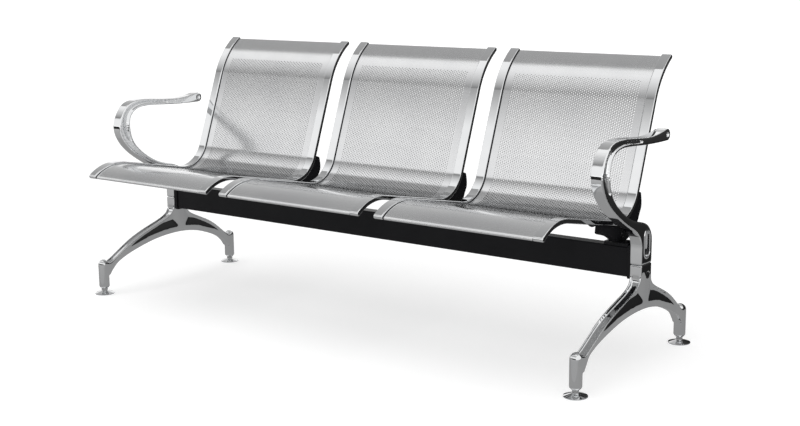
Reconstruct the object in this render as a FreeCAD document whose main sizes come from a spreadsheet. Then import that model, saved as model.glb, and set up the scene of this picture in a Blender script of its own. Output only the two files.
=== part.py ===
import FreeCAD, Part

import math
import os

Vec = FreeCAD.Vector

# Three-seat bench on a steel beam. Millimetres, +Z up, X along the beam, -Y is the side people sit down from.
# The origin lies on the floor, below the middle of the bench's whole length and depth.

DIMENSIONS = {
    "panel_width": 455,
    "trim_width": 28,
    "trim_thickness": 13,
    "trim_stands_proud": 6,
    "trim_edge_radius": 3.5,
    "sheet_gauge": 2,
    "hem_radius": 2,
    "hem_return": 9,
    "opening_width": 13,
    "opening_pitch": 33.5,
    "opening_bar": 10,
    "opening_side_margin": 26,
    "opening_front_margin": 7,
    "opening_top_reach": 60,
    "tongue_length": 9,
    "slot_clearance": 0.1,
    "panel_side_gap": 0.3,
    "seat_rise": 68,
    "bend_before_beam": 22.5,
    "bend_radius": 95.5,
    "seat_slope": 10.7,
    "back_slope": 20.3,
    "seat_straight": 248,
    "front_curl_radius": 154,
    "front_curl_turn": 47,
    "back_straight": 250,
    "top_curl_radius": 237,
    "top_curl_turn": 35.3,
    "trim_screw_reach": 105,
    "trim_screw_head": 20,
    "trim_screw_rise": 6.5,
    "trim_screw_shank": 6,
    "trim_screw_depth": 9,
    "beam_section_height": 80,
    "beam_section_depth": 40,
    "beam_wall": 3,
    "beam_corner_radius": 5,
    "beam_underside": 235.5,
    "beam_setback": 66.8,
    "beam_behind_feet": 42,
    "beam_overhang": 1,
    "end_plate_gauge": 10,
    "end_plate_margin": 4,
    "end_plate_corner": 6,
    "bracket_web": 16,
    "bracket_nose_reach": 72,
    "bracket_nose_height": 21,
    "bracket_fin_thickness": 21,
    "bracket_fin_rise": 5,
    "bracket_flange_gauge": 8,
    "bracket_flange_width": 72,
    "bracket_flange_gap": 9,
    "bracket_seat_gap": 0.3,
    "base_bolt_spacing": 48,
    "base_bolt_shank": 8,
    "base_bolt_head": 13,
    "base_bolt_head_rise": 5.5,
    "web_screw_height": 25.5,
    "web_screw_head": 14,
    "web_screw_rise": 4,
    "web_screw_shank": 8,
    "web_screw_length": 10,
    "leg_width": 34,
    "arm_end_width": 31,
    "column_depth": 56,
    "joint_below_beam_axis": 2.5,
    "joint_chamfer": 1.5,
    "foot_spread": 568,
    "post_diameter": 33,
    "post_base_diameter": 21,
    "post_chamfer_height": 6,
    "post_shoulder_height": 97,
    "arm_shoulder_drop": 28,
    "arm_post_height": 108,
    "arch_crown_height": 151.5,
    "arch_spring_height": 62,
    "arch_crown_offset": 12,
    "groove_width": 23,
    "groove_depth": 7,
    "leg_valley_depth": 5,
    "dowel_diameter": 12,
    "dowel_length": 36,
    "dowel_spacing": 30,
    "armrest_top_height": 613.5,
    "armrest_front_reach": 245,
    "armrest_rear_reach": 119,
    "armrest_column_front_rise": 45,
    "armrest_column_rear_rise": 60,
    "crescent_depth": 2.5,
    "oblong_rise": 54,
    "oblong_length": 68,
    "oblong_width": 26,
    "oblong_depth": 9,
    "oblong_bead": 4,
    "oblong_bead_rise": 2,
    "tip_hole_diameter": 9,
    "tip_hole_depth": 4,
    "tip_hole_inset": 17,
    "tip_hole_drop": 15,
    "leg_bolt_drop": 30,
    "leg_bolt_offset": 10,
    "leg_bolt_head": 14,
    "leg_bolt_head_depth": 5,
    "column_bolt_shank": 10,
    "armrest_bolt_drop": 22,
    "armrest_bolt_head": 16,
    "armrest_bolt_head_rise": 6,
    "bolt_clearance": 0.2,
    "foot_rim_wall": 3,
    "foot_rim_height": 4,
    "foot_cone_height": 11,
    "foot_boss_diameter": 18,
    "foot_boss_rise": 2.4,
    "foot_pad_diameter": 55,
    "foot_pad_gauge": 2,
    "foot_pad_proud": 0.5,
    "foot_pad_clearance": 0.2,
    "stem_diameter": 10,
    "stem_foot_height": 5,
    "stem_engagement": 32,
    "stem_clearance": 0.08,
    "stem_travel": 15,
    "lock_nut_flats": 17,
    "lock_nut_height": 5.2,
    "lock_nut_gap": 0.4,
}

DOC = FreeCAD.newDocument("BeamSeating")
SHEET = DOC.addObject("Spreadsheet::Sheet", "Sizes")
PIECES = []

# Two coordinates closer than this are the same place
TOUCH = 1e-4


def fill_sheet():
    for row, (alias, value) in enumerate(DIMENSIONS.items(), start=1):
        SHEET.set("A%d" % row, alias)
        SHEET.set("B%d" % row, str(value))
        SHEET.setAlias("B%d" % row, alias)
    DOC.recompute()


def size(alias):
    return float(SHEET.get(alias))


def unit(degrees):
    """The direction at this angle in a sketch's plane."""
    radians = math.radians(degrees)
    return Vec(math.cos(radians), math.sin(radians), 0)


# Sketch curves

def line(start, end):
    return Part.LineSegment(start, end)


def arc(start, middle, end):
    return Part.Arc(start, middle, end)


def spline(points, first_heading=None, last_heading=None, spans_in_piece=3):
    """A smooth curve through the points, cut into pieces that are short enough to be measured well.

    Its parameter grows by the roots of the points' distances, so that it doesn't swing between them.
    """
    steps = [math.sqrt(a.distanceToPoint(b)) for a, b in zip(points, points[1:])]
    places = [sum(steps[:k]) for k in range(len(points))]
    curve = Part.BSplineCurve()
    if first_heading and last_heading:
        curve.interpolate(
            Points=points, Parameters=places, Scale=False,
            InitialTangent=first_heading * steps[0], FinalTangent=last_heading * steps[-1],
        )
    else:
        curve.interpolate(Points=points, Parameters=places)
    return cut_at(curve, places[::spans_in_piece] + places[-1:])


def closed_spline(points):
    curve = Part.BSplineCurve()
    curve.interpolate(points, PeriodicFlag=True)
    return curve


def cut_at(curve, places):
    pieces = []
    for start, end in zip(places, places[1:]):
        if end - start > TOUCH:
            piece = curve.copy()
            piece.segment(start, end)
            pieces.append(piece)
    return pieces


def polyline(points):
    return [line(a, b) for a, b in zip(points, points[1:])]


def polygon(points):
    return polyline(points + points[:1])


def circle(centre, diameter):
    return Part.Circle(centre, Vec(0, 0, 1), diameter / 2)


def rounded_rectangle(centre, width, height, radius):
    """Four sides and four corner arcs, anticlockwise from the bottom side."""
    half_w = width / 2 - radius
    half_h = height / 2 - radius
    curves = []
    corners = [(half_w, -half_h, 270), (half_w, half_h, 0), (-half_w, half_h, 90), (-half_w, -half_h, 180)]
    last = centre + Vec(-half_w, -half_h - radius, 0)
    for x, y, angle in corners:
        corner = centre + Vec(x, y, 0)
        start = corner + unit(angle) * radius
        end = corner + unit(angle + 90) * radius
        curves.append(line(last, start))
        curves.append(arc(start, corner + unit(angle + 45) * radius, end))
        last = end
    return curves


def slot(centre, length, width):
    """An upright slot with round ends."""
    radius = width / 2
    reach = Vec(0, length / 2 - radius, 0)
    side = Vec(radius, 0, 0)
    top = centre + reach
    bottom = centre - reach
    return [
        line(bottom + side, top + side),
        arc(top + side, top + Vec(0, radius, 0), top - side),
        line(top - side, bottom - side),
        arc(bottom - side, bottom - Vec(0, radius, 0), bottom + side),
    ]


def hexagon(centre, flats):
    corner = flats / math.sqrt(3)
    return polygon([centre + unit(60 * k) * corner for k in range(6)])


# Bodies and features

def new_body(label, x="0", y="0", z="0"):
    """A body whose place is given by three expressions over the sheet."""
    body = DOC.addObject("PartDesign::Body", label)
    body.Label = label
    for axis, text in zip("xyz", (x, y, z)):
        body.setExpression("Placement.Base." + axis, text)
    PIECES.append(body)
    return body


def new_sketch(body, plane, curves, offset=0.0, frame=None):
    """A sketch on an origin plane of the body, moved along its normal or to a frame of its own.

    A YZ sketch has the body's Y to the right and Z up; an XZ sketch faces -Y.
    """
    sketch = body.newObject("Sketcher::SketchObject", body.Label + "_sketch")
    origin_plane = next(f for f in body.Origin.OriginFeatures if f.Role == plane)
    sketch.AttachmentSupport = [(origin_plane, "")]
    sketch.MapMode = "FlatFace"
    sketch.AttachmentOffset = frame or FreeCAD.Placement(Vec(0, 0, offset), FreeCAD.Rotation())
    for item in curves:
        sketch.addGeometry(item, False)
    return sketch


def recompute(feature):
    """Recomputes the document and stops if this feature couldn't be made."""
    DOC.recompute()
    if "Invalid" in feature.State:
        raise RuntimeError(feature.Name + ": " + feature.getStatusString())


def pad(body, sketch, length, midplane=False, backwards=False):
    feature = body.newObject("PartDesign::Pad", body.Label + "_pad")
    feature.Profile = sketch
    feature.SideType = "Symmetric" if midplane else "One side"
    feature.Reversed = backwards
    feature.setExpression("Length", length)
    recompute(feature)
    return feature


def pocket(body, sketch, depth, midplane=False, backwards=False):
    """Cuts the sketch's outline into the body and makes sure that it removed something."""
    before = body.Shape.Volume
    feature = body.newObject("PartDesign::Pocket", body.Label + "_pocket")
    feature.Profile = sketch
    feature.SideType = "Symmetric" if midplane else "One side"
    feature.Reversed = backwards
    feature.setExpression("Length", depth)
    recompute(feature)
    if body.Shape.Volume >= before:
        raise RuntimeError(body.Label + ": a pocket cut nothing")
    return feature


def revolve(body, curves, offset=0.0):
    """Adds a solid turned about an upright axis, from its outline in the XZ plane or offset in front of it."""
    sketch = new_sketch(body, "XZ_Plane", curves, offset)
    feature = body.newObject("PartDesign::Revolution", body.Label + "_turned")
    feature.Profile = sketch
    feature.ReferenceAxis = (sketch, ["V_Axis"])
    feature.Angle = 360
    recompute(feature)
    return feature


def fillet(body, base, edges, radius):
    feature = body.newObject("PartDesign::Fillet", body.Label + "_fillet")
    feature.Base = (base, edges)
    feature.setExpression("Radius", radius)
    recompute(feature)
    return feature


def side_edges(feature, half_width, above=0.0):
    """The names of the edges that lie whole in one of the planes x = +-half_width and higher than above."""
    names = []
    for index, edge in enumerate(feature.Shape.Edges, start=1):
        box = edge.BoundBox
        in_plane = abs(box.XMax - box.XMin) < TOUCH and abs(abs(box.XMax) - half_width) < TOUCH
        if in_plane and box.ZMax > above:
            names.append("Edge%d" % index)
    return names


def edges_at_z(feature, height):
    names = []
    for index, edge in enumerate(feature.Shape.Edges, start=1):
        box = edge.BoundBox
        if abs(box.ZMax - height) < TOUCH and abs(box.ZMin - height) < TOUCH:
            names.append("Edge%d" % index)
    return names


def turned(label, curves, x="0", y="0", z="0"):
    body = new_body(label, x, y, z)
    revolve(body, curves)
    return body


def group(label, shapes):
    """Identical fasteners kept together as separate solids under one name."""
    feature = DOC.addObject("Part::Feature", label)
    feature.Label = label
    feature.Shape = Part.makeCompound(shapes)
    PIECES.append(feature)
    return feature


# Places that several pieces share

def trim_centre():
    return size("panel_width") / 2 + size("trim_width") / 2


TRIM_CENTRE_TEXT = "(Sizes.panel_width + Sizes.trim_width) / 2"
# The brackets of two neighbouring seats stand on the beam with a gap between their flanges, which sets the pitch
SEAT_PITCH_TEXT = "(2 * " + TRIM_CENTRE_TEXT + " + Sizes.bracket_flange_width + Sizes.bracket_flange_gap)"
LAST_FLANGE_TEXT = "(" + SEAT_PITCH_TEXT + " + " + TRIM_CENTRE_TEXT + " + Sizes.bracket_flange_width / 2)"
BEAM_HALF_TEXT = "(" + LAST_FLANGE_TEXT + " + Sizes.beam_overhang)"
LEG_PLACE_TEXT = "(" + BEAM_HALF_TEXT + " + Sizes.end_plate_gauge + Sizes.leg_width / 2)"
JOINT_HEIGHT_TEXT = "(Sizes.beam_underside + Sizes.beam_section_height / 2 - Sizes.joint_below_beam_axis)"


def seat_pitch():
    return 2 * trim_centre() + size("bracket_flange_width") + size("bracket_flange_gap")


def seat_centres():
    return [-seat_pitch(), 0.0, seat_pitch()]


def beam_half_length():
    return seat_pitch() + trim_centre() + size("bracket_flange_width") / 2 + size("beam_overhang")


def leg_place():
    return beam_half_length() + size("end_plate_gauge") + size("leg_width") / 2


def beam_top():
    return size("beam_underside") + size("beam_section_height")


def beam_middle():
    return size("beam_underside") + size("beam_section_height") / 2


def joint_height():
    """Where the armrest's column stands on the leg's."""
    return beam_middle() - size("joint_below_beam_axis")


def oblong_height():
    return joint_height() + size("oblong_rise")


def leg_bolt_height():
    return joint_height() - size("leg_bolt_drop")


def armrest_bolt_height():
    return oblong_height() - size("armrest_bolt_drop")


# Side view of a seat, shared by panel, trims, screws and brackets

def bend_centre():
    low = beam_top() + size("seat_rise")
    return Vec(size("beam_setback") - size("bend_before_beam"), low + size("bend_radius"), 0)


def seat_normal():
    return 90 - size("seat_slope")


def back_normal():
    return 180 - size("back_slope")


def bend_point(angle, depth):
    """On the bend, where the sitter's side faces this angle and lies this far in front of the point."""
    return bend_centre() - unit(angle) * (size("bend_radius") + depth)


def front_point(angle, depth):
    centre = bend_point(seat_normal(), 0) + unit(seat_normal() + 90) * size("seat_straight")
    centre -= unit(seat_normal()) * size("front_curl_radius")
    return centre + unit(angle) * (size("front_curl_radius") - depth)


def top_point(angle, depth):
    centre = bend_point(back_normal(), 0) + unit(back_normal() - 90) * size("back_straight")
    centre -= unit(back_normal()) * size("top_curl_radius")
    return centre + unit(angle) * (size("top_curl_radius") - depth)


def front_tip_angle():
    return seat_normal() + size("front_curl_turn")


def top_tip_angle():
    return back_normal() - size("top_curl_turn")


def seat_curves(depth, past_ends=0.0):
    """Front curl, seat, bend, back and top curl; past_ends lengthens both curls by that many degrees."""
    low = seat_normal()
    high = back_normal()
    front = front_tip_angle() + past_ends
    top = top_tip_angle() - past_ends
    return [
        arc(front_point(front, depth), front_point((front + low) / 2, depth), front_point(low, depth)),
        line(front_point(low, depth), bend_point(low, depth)),
        arc(bend_point(low, depth), bend_point((low + high) / 2, depth), bend_point(high, depth)),
        line(bend_point(high, depth), top_point(high, depth)),
        arc(top_point(high, depth), top_point((high + top) / 2, depth), top_point(top, depth)),
    ]


def seat_strip(near, far, past_ends=0.0):
    """A closed band between two depths behind the sitter's side, with square ends."""
    front = front_tip_angle() + past_ends
    top = top_tip_angle() - past_ends
    ends = [
        line(front_point(front, near), front_point(front, far)),
        line(top_point(top, near), top_point(top, far)),
    ]
    return seat_curves(near, past_ends) + seat_curves(far, past_ends) + ends


def hem(tip, normal, onward):
    """The rolled edge of the sheet: it turns back behind itself and ends in a short straight return."""
    inner = size("hem_radius")
    outer = inner + size("sheet_gauge")
    centre = tip - normal * outer
    back = onward * -size("hem_return")
    return [
        arc(tip, centre + onward * outer, centre - normal * outer),
        line(centre - normal * outer, centre - normal * outer + back),
        line(centre - normal * outer + back, centre - normal * inner + back),
        line(centre - normal * inner + back, centre - normal * inner),
        arc(centre - normal * inner, centre + onward * inner, centre + normal * inner),
    ]


def openings(length, rows):
    """Outlines of a plain grid of upright openings that fills this length of the sheet, about its middle."""
    pitch = size("opening_pitch")
    columns = int((size("panel_width") - 2 * size("opening_side_margin")) / pitch)
    half_width = size("opening_width") / 2
    half_length = (length / rows - size("opening_bar")) / 2
    curves = []
    for column in range(columns):
        for row in range(rows):
            middle = Vec((column - (columns - 1) / 2) * pitch, (row - (rows - 1) / 2) * length / rows, 0)
            corners = [(-half_width, -half_length), (half_width, -half_length), (half_width, half_length),
                       (-half_width, half_length)]
            curves += polygon([middle + Vec(x, y, 0) for x, y in corners])
    return curves


def cut_openings(body):
    """Opens the sheet over the seat, round the bend, up the back and onto the top curl.

    The real sheet has many small round holes over the same field, which leave the same share of it open.
    """
    low = seat_normal()
    high = back_normal()
    proud = size("trim_stands_proud")
    seat_length = size("seat_straight") - size("opening_front_margin")
    back_length = size("back_straight")
    bend_length = (size("bend_radius") + proud) * math.radians(high - low)
    top_length = size("opening_top_reach")
    on_top = high - math.degrees(top_length / 2 / (size("top_curl_radius") - proud))
    bend_rows = 3
    fields = [
        (bend_point(low, 0) + unit(low + 90) * (seat_length / 2), low, openings(seat_length, 4)),
        (bend_point(high, 0) + unit(high - 90) * (back_length / 2), high, openings(back_length, 4)),
        (top_point(on_top, 0), on_top, openings(top_length, 1)),
    ]
    for row in range(bend_rows):
        angle = low + (high - low) * (row + 0.5) / bend_rows
        fields.append((bend_point(angle, 0), angle, openings(bend_length / bend_rows, 1)))
    for point, normal, outlines in fields:
        frame = FreeCAD.Placement(Vec(0, point.x, point.y), FreeCAD.Rotation(Vec(1, 0, 0), normal - 90))
        pocket(body, new_sketch(body, "XY_Plane", outlines, frame=frame), "2 * Sizes.trim_stands_proud")


def seat_panel(index):
    """Bent sheet with rolled edges at front and top, and a plain tongue at each side for the trims' slots."""
    body = new_body("seat_panel_%d" % (index + 1), x="%d * %s" % (index - 1, SEAT_PITCH_TEXT))
    near = size("trim_stands_proud")
    far = near + size("sheet_gauge")
    outline = seat_curves(near) + seat_curves(far)
    front = front_tip_angle()
    top = top_tip_angle()
    outline += hem(front_point(front, near), unit(front), unit(front + 90))
    outline += hem(top_point(top, near), unit(top), unit(top - 90))
    bent = new_sketch(body, "YZ_Plane", outline)
    pad(body, bent, "Sizes.panel_width - 2 * Sizes.panel_side_gap", midplane=True)
    tongue = new_sketch(body, "YZ_Plane", seat_strip(near, far))
    pad(body, tongue, "Sizes.panel_width + 2 * Sizes.tongue_length", midplane=True)
    cut_openings(body)
    return body


def screw_entry():
    """Where the trim's screw goes in, on the trim's underside in the side view."""
    along = bend_point(seat_normal(), 0) + unit(seat_normal() + 90) * size("trim_screw_reach")
    return along - unit(seat_normal()) * size("trim_thickness")


def square_to_seat(x, station, out=0.0):
    """A frame whose Z points up through the seat, square to it, from this station of the side view."""
    place = station - unit(seat_normal()) * out
    return FreeCAD.Placement(Vec(x, place.x, place.y), FreeCAD.Rotation(Vec(1, 0, 0), -size("seat_slope")))


def seat_trim(index, side):
    """Bright bar along one side of a seat, slotted for the sheet, with a blind screw hole in its underside."""
    name = "right" if side > 0 else "left"
    place = "%d * %s + %d * %s" % (index - 1, SEAT_PITCH_TEXT, side, TRIM_CENTRE_TEXT)
    body = new_body("seat_trim_%d_%s" % (index + 1, name), x=place)
    depth = size("trim_thickness")
    front = front_tip_angle()
    top = top_tip_angle()
    nose = arc(
        front_point(front, 0),
        front_point(front, depth / 2) + unit(front + 90) * (depth / 2),
        front_point(front, depth),
    )
    tail = arc(
        top_point(top, 0),
        top_point(top, depth / 2) + unit(top - 90) * (depth / 2),
        top_point(top, depth),
    )
    outline = new_sketch(body, "YZ_Plane", seat_curves(0) + seat_curves(depth) + [nose, tail])
    bar = pad(body, outline, "Sizes.trim_width", midplane=True)
    half = size("trim_width") / 2
    fillet(body, bar, side_edges(bar, half), "Sizes.trim_edge_radius")
    clear = size("slot_clearance")
    near = size("trim_stands_proud") - clear
    far = near + size("sheet_gauge") + 2 * clear
    groove = new_sketch(body, "YZ_Plane", seat_strip(near, far, past_ends=0.3), offset=-side * half)
    pocket(body, groove, "Sizes.tongue_length + 3 * Sizes.slot_clearance", backwards=side > 0)
    hole = [circle(Vec(0, 0, 0), size("trim_screw_shank") + 2 * clear)]
    underside = new_sketch(body, "XY_Plane", hole, frame=square_to_seat(0, screw_entry(), out=1))
    pocket(body, underside, "Sizes.trim_screw_depth + 1", backwards=True)
    return body


def dome_head(diameter, rise):
    """A low dome that hangs below the XY plane: a spherical cap under a short upright edge."""
    radius = diameter / 2
    edge = rise / 5
    cap = rise - edge
    sphere = (radius ** 2 + cap ** 2) / (2 * cap)
    halfway = math.asin(radius / sphere) / 2
    middle = Vec(sphere * math.sin(halfway), 0, sphere - rise - sphere * math.cos(halfway))
    profile = Part.Wire([
        line(Vec(0, 0, 0), Vec(radius, 0, 0)).toShape(),
        line(Vec(radius, 0, 0), Vec(radius, 0, -edge)).toShape(),
        arc(Vec(radius, 0, -edge), middle, Vec(0, 0, -rise)).toShape(),
        line(Vec(0, 0, -rise), Vec(0, 0, 0)).toShape(),
    ])
    return Part.Face(profile).revolve(Vec(0, 0, 0), Vec(0, 0, 1), 360)


def joined(first, second):
    return first.fuse(second).removeSplitter().Solids[0]


def trim_screws():
    """Black domed screws, one up into each trim."""
    screws = []
    for centre in seat_centres():
        for side in (-1, 1):
            head = dome_head(size("trim_screw_head"), size("trim_screw_rise"))
            shank = Part.makeCylinder(size("trim_screw_shank") / 2, size("trim_screw_depth") - 0.5)
            screw = joined(head, shank)
            screw.Placement = square_to_seat(centre + side * trim_centre(), screw_entry())
            screws.append(screw)
    return group("trim_screws", screws)


# Beam and end plates

def base_bolt_places():
    """X of every bolt that holds a bracket down."""
    half = size("base_bolt_spacing") / 2
    webs = [centre + side * trim_centre() for centre in seat_centres() for side in (-1, 1)]
    return [web + offset for web in webs for offset in (-half, half)]


def beam_tube():
    """Rectangular steel tube with a bolt hole in its top wall for every bracket bolt."""
    middle_height = "Sizes.beam_underside + Sizes.beam_section_height / 2"
    body = new_body("beam_tube", y="Sizes.beam_setback", z=middle_height)
    wall = size("beam_wall")
    width = size("beam_section_depth")
    height = size("beam_section_height")
    corner = size("beam_corner_radius")
    middle = Vec(0, 0, 0)
    outer = rounded_rectangle(middle, width, height, corner)
    inner = rounded_rectangle(middle, width - 2 * wall, height - 2 * wall, corner - wall)
    pad(body, new_sketch(body, "YZ_Plane", outer + inner), "2 * " + BEAM_HALF_TEXT, midplane=True)
    diameter = size("base_bolt_shank") + 2 * size("bolt_clearance")
    holes = [circle(Vec(x, 0, 0), diameter) for x in base_bolt_places()]
    pocket(body, new_sketch(body, "XY_Plane", holes, offset=height / 2 + 1), "Sizes.beam_wall + 2")
    return body


def end_plate(side):
    """Black plate welded to the beam's end, tapped for the bolts of leg and armrest."""
    name = "right" if side > 0 else "left"
    body = new_body(
        "end_plate_" + name,
        x="%d * (%s + Sizes.end_plate_gauge / 2)" % (side, BEAM_HALF_TEXT),
        y="Sizes.beam_setback",
    )
    margin = size("end_plate_margin")
    width = size("beam_section_depth") + 2 * margin
    height = size("beam_section_height") + 2 * margin
    middle = Vec(0, beam_middle(), 0)
    bore = size("column_bolt_shank") + 2 * size("bolt_clearance")
    bolts = [
        circle(Vec(size("leg_bolt_offset"), leg_bolt_height(), 0), bore),
        circle(Vec(0, armrest_bolt_height(), 0), bore),
    ]
    outline = rounded_rectangle(middle, width, height, size("end_plate_corner")) + bolts
    pad(body, new_sketch(body, "YZ_Plane", outline), "Sizes.end_plate_gauge", midplane=True)
    return body


# Seat brackets

# The web's two free edges, as shares of the way from the seat to the base flange
FRONT_EDGE = [(0.11, 0.14), (0.47, 0.38), (0.71, 0.66)]
REAR_EDGE = [(-0.05, 0.18), (-0.04, 0.34), (0.07, 0.49), (0.19, 0.65), (0.53, 0.87)]


def between(start, end, shares):
    """Points given by separate shares of the way across and the way down from start to end."""
    return [Vec(start.x + (end.x - start.x) * a, start.y + (end.y - start.y) * b, 0) for a, b in shares]


def seat_bracket(index, side):
    """Black casting between the beam and one trim: a curved web under the trim and a flange on the beam."""
    name = "right" if side > 0 else "left"
    place = "%d * %s + %d * %s" % (index - 1, SEAT_PITCH_TEXT, side, TRIM_CENTRE_TEXT)
    body = new_body("seat_bracket_%d_%s" % (index + 1, name), x=place)
    low = seat_normal()
    high = back_normal()
    depth = size("trim_thickness") + size("bracket_seat_gap")
    setback = size("beam_setback")
    half = size("beam_section_depth") / 2
    flange_top = beam_top() + size("bracket_flange_gauge")

    seat_start = bend_point(low, depth)
    nose_top = seat_start + unit(low + 90) * size("bracket_nose_reach")
    nose_bottom = nose_top - unit(low) * size("bracket_nose_height")
    fin_top = bend_point(high, depth) + unit(high - 90) * size("bracket_fin_rise")
    fin_rear = fin_top - unit(high) * size("bracket_fin_thickness")
    flange_front = Vec(setback - half, flange_top, 0)
    flange_rear = Vec(setback + half, flange_top, 0)
    outline = [
        line(nose_top, seat_start),
        arc(seat_start, bend_point((low + high) / 2, depth), bend_point(high, depth)),
        line(bend_point(high, depth), fin_top),
        line(fin_top, fin_rear),
        spline([fin_rear] + between(fin_rear, flange_rear, REAR_EDGE) + [flange_rear]),
        line(flange_rear, Vec(flange_rear.x, beam_top(), 0)),
        line(Vec(flange_rear.x, beam_top(), 0), Vec(flange_front.x, beam_top(), 0)),
        line(Vec(flange_front.x, beam_top(), 0), flange_front),
        spline([flange_front] + between(nose_bottom, flange_front, FRONT_EDGE)[::-1] + [nose_bottom]),
        line(nose_bottom, nose_top),
    ]
    pad(body, new_sketch(body, "YZ_Plane", outline), "Sizes.bracket_web", midplane=True)
    middle = Vec(0, setback, 0)
    flange = rounded_rectangle(middle, size("bracket_flange_width"), 2 * half, size("beam_corner_radius"))
    pad(body, new_sketch(body, "XY_Plane", flange, offset=beam_top()), "Sizes.bracket_flange_gauge")
    clear = 2 * size("bolt_clearance")
    spacing = size("base_bolt_spacing") / 2
    bolt_holes = [circle(Vec(x, setback, 0), size("base_bolt_shank") + clear) for x in (-spacing, spacing)]
    above_flange = new_sketch(body, "XY_Plane", bolt_holes, offset=flange_top + 1)
    pocket(body, above_flange, "Sizes.bracket_flange_gauge + 2")
    screw = [circle(Vec(setback, beam_top() + size("web_screw_height"), 0), size("web_screw_shank") + clear)]
    right_face = new_sketch(body, "YZ_Plane", screw, offset=size("bracket_web") / 2)
    pocket(body, right_face, "Sizes.web_screw_length + 1")
    return body


def hex_prism(flats, height, bore=0.0):
    face = Part.Face(Part.Wire([side.toShape() for side in hexagon(Vec(0, 0, 0), flats)]))
    prism = face.extrude(Vec(0, 0, height))
    if bore:
        prism = prism.cut(Part.makeCylinder(bore / 2, height))
    return prism


def base_bolts():
    """Hexagon bolts that go down through the brackets' flanges and the beam's top wall."""
    flange = size("bracket_flange_gauge")
    reach = flange + size("beam_wall") + 1.2 * size("base_bolt_shank")
    bolts = []
    for x in base_bolt_places():
        head = hex_prism(size("base_bolt_head"), size("base_bolt_head_rise"))
        shank = Part.makeCylinder(size("base_bolt_shank") / 2, reach, Vec(0, 0, -reach))
        bolt = joined(head, shank)
        bolt.Placement.Base = Vec(x, size("beam_setback"), beam_top() + flange)
        bolts.append(bolt)
    return group("bracket_base_bolts", bolts)


def base_nuts():
    """Nuts inside the tube, up against its top wall."""
    rise = 0.8 * size("base_bolt_shank")
    nuts = []
    for x in base_bolt_places():
        nut = hex_prism(size("base_bolt_head"), rise, size("base_bolt_shank") + size("bolt_clearance"))
        nut.Placement.Base = Vec(x, size("beam_setback"), beam_top() - size("beam_wall") - rise)
        nuts.append(nut)
    return group("bracket_base_nuts", nuts)


def web_screws():
    """Domed cross screws in the right face of each bracket's web."""
    screws = []
    height = beam_top() + size("web_screw_height")
    for centre in seat_centres():
        for side in (-1, 1):
            head = dome_head(size("web_screw_head"), size("web_screw_rise"))
            shank = Part.makeCylinder(size("web_screw_shank") / 2, size("web_screw_length"))
            screw = joined(head, shank)
            place = Vec(centre + side * trim_centre() + size("bracket_web") / 2, size("beam_setback"), height)
            screw.Placement = FreeCAD.Placement(place, FreeCAD.Rotation(Vec(0, 1, 0), -90))
            screws.append(screw)
    return group("bracket_web_screws", screws)


# Legs

# Upper edge of an arm: share of the way from the column's face to the post's axis, and share of the
# height from the post's shoulder up to the column's shoulder
ARM_TOP = [(0, 1), (0.015, 0.89), (0.06, 0.785), (0.25, 0.626), (0.6, 0.345), (0.885, 0), (0.95, -0.045)]
# The arch below: share of the way from a post's inner face to the crown, and share of the crown's rise
ARCH = [(0, 0), (0.04, 0.17), (0.185, 0.47), (0.46, 0.765), (0.7, 0.93)]
# Hollows in the side faces below the arms' upper edge, in the same shares as ARM_TOP
FRONT_VALLEY = [(-0.04, 0.71), (0.11, 0.6), (0.25, 0.51), (0.42, 0.37), (0.25, 0.4), (0.05, 0.49), (-0.02, 0.6)]
REAR_VALLEY = [
    (-0.05, 0.7), (0.06, 0.64), (0.25, 0.51), (0.5, 0.31), (0.77, 0.06), (0.45, 0.26), (0.12, 0.47), (0, 0.58),
]


def column_face(side):
    return size("beam_setback") + side * size("column_depth") / 2


def post_axis(side):
    return size("beam_setback") - size("beam_behind_feet") + side * size("foot_spread") / 2


def post_base_height():
    """Above the foot's boss, with the lock nut and its gap between them."""
    return foot_boss_height() + size("lock_nut_gap") + size("lock_nut_height")


def foot_boss_height():
    return size("foot_cone_height") + size("foot_boss_rise")


def stem_top_height():
    return post_base_height() + size("stem_travel") + size("stem_engagement")


def arm_points(side, shares):
    """Points of the leg's side view given in the shares that ARM_TOP explains."""
    low = size("arm_post_height")
    rise = joint_height() - size("arm_shoulder_drop") - low
    run = post_axis(side) - column_face(side)
    return [Vec(column_face(side) + run * a, low + rise * b, 0) for a, b in shares]


def arch_points(side):
    start = post_axis(side) - side * size("post_diameter") / 2
    run = size("beam_setback") - size("arch_crown_offset") - start
    low = size("arch_spring_height")
    rise = size("arch_crown_height") - low
    return [Vec(start + run * a, low + rise * b, 0) for a, b in ARCH]


def moved_sideways(points, distances):
    """Each point moved square to the line through its neighbours, to the left of the way they run."""
    moved = []
    last = len(points) - 1
    for k, point in enumerate(points):
        along = points[min(k + 1, last)] - points[max(k - 1, 0)]
        along.normalize()
        moved.append(point + Vec(-along.y, along.x, 0) * distances[k])
    return moved


def arm_groove(side):
    """Side view of the hollow along an arm's upper edge: it starts at nothing on the column's face."""
    edge = arm_points(side, ARM_TOP)
    depth = size("groove_depth")
    count = len(edge)
    floor = moved_sideways(edge, [0] + [-side * depth] * (count - 2) + [-side * depth / 2])
    above = moved_sideways(edge, [side * depth] * count)
    return [spline(floor), spline(above), line(floor[0], above[0]), line(floor[-1], above[-1])]


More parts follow.
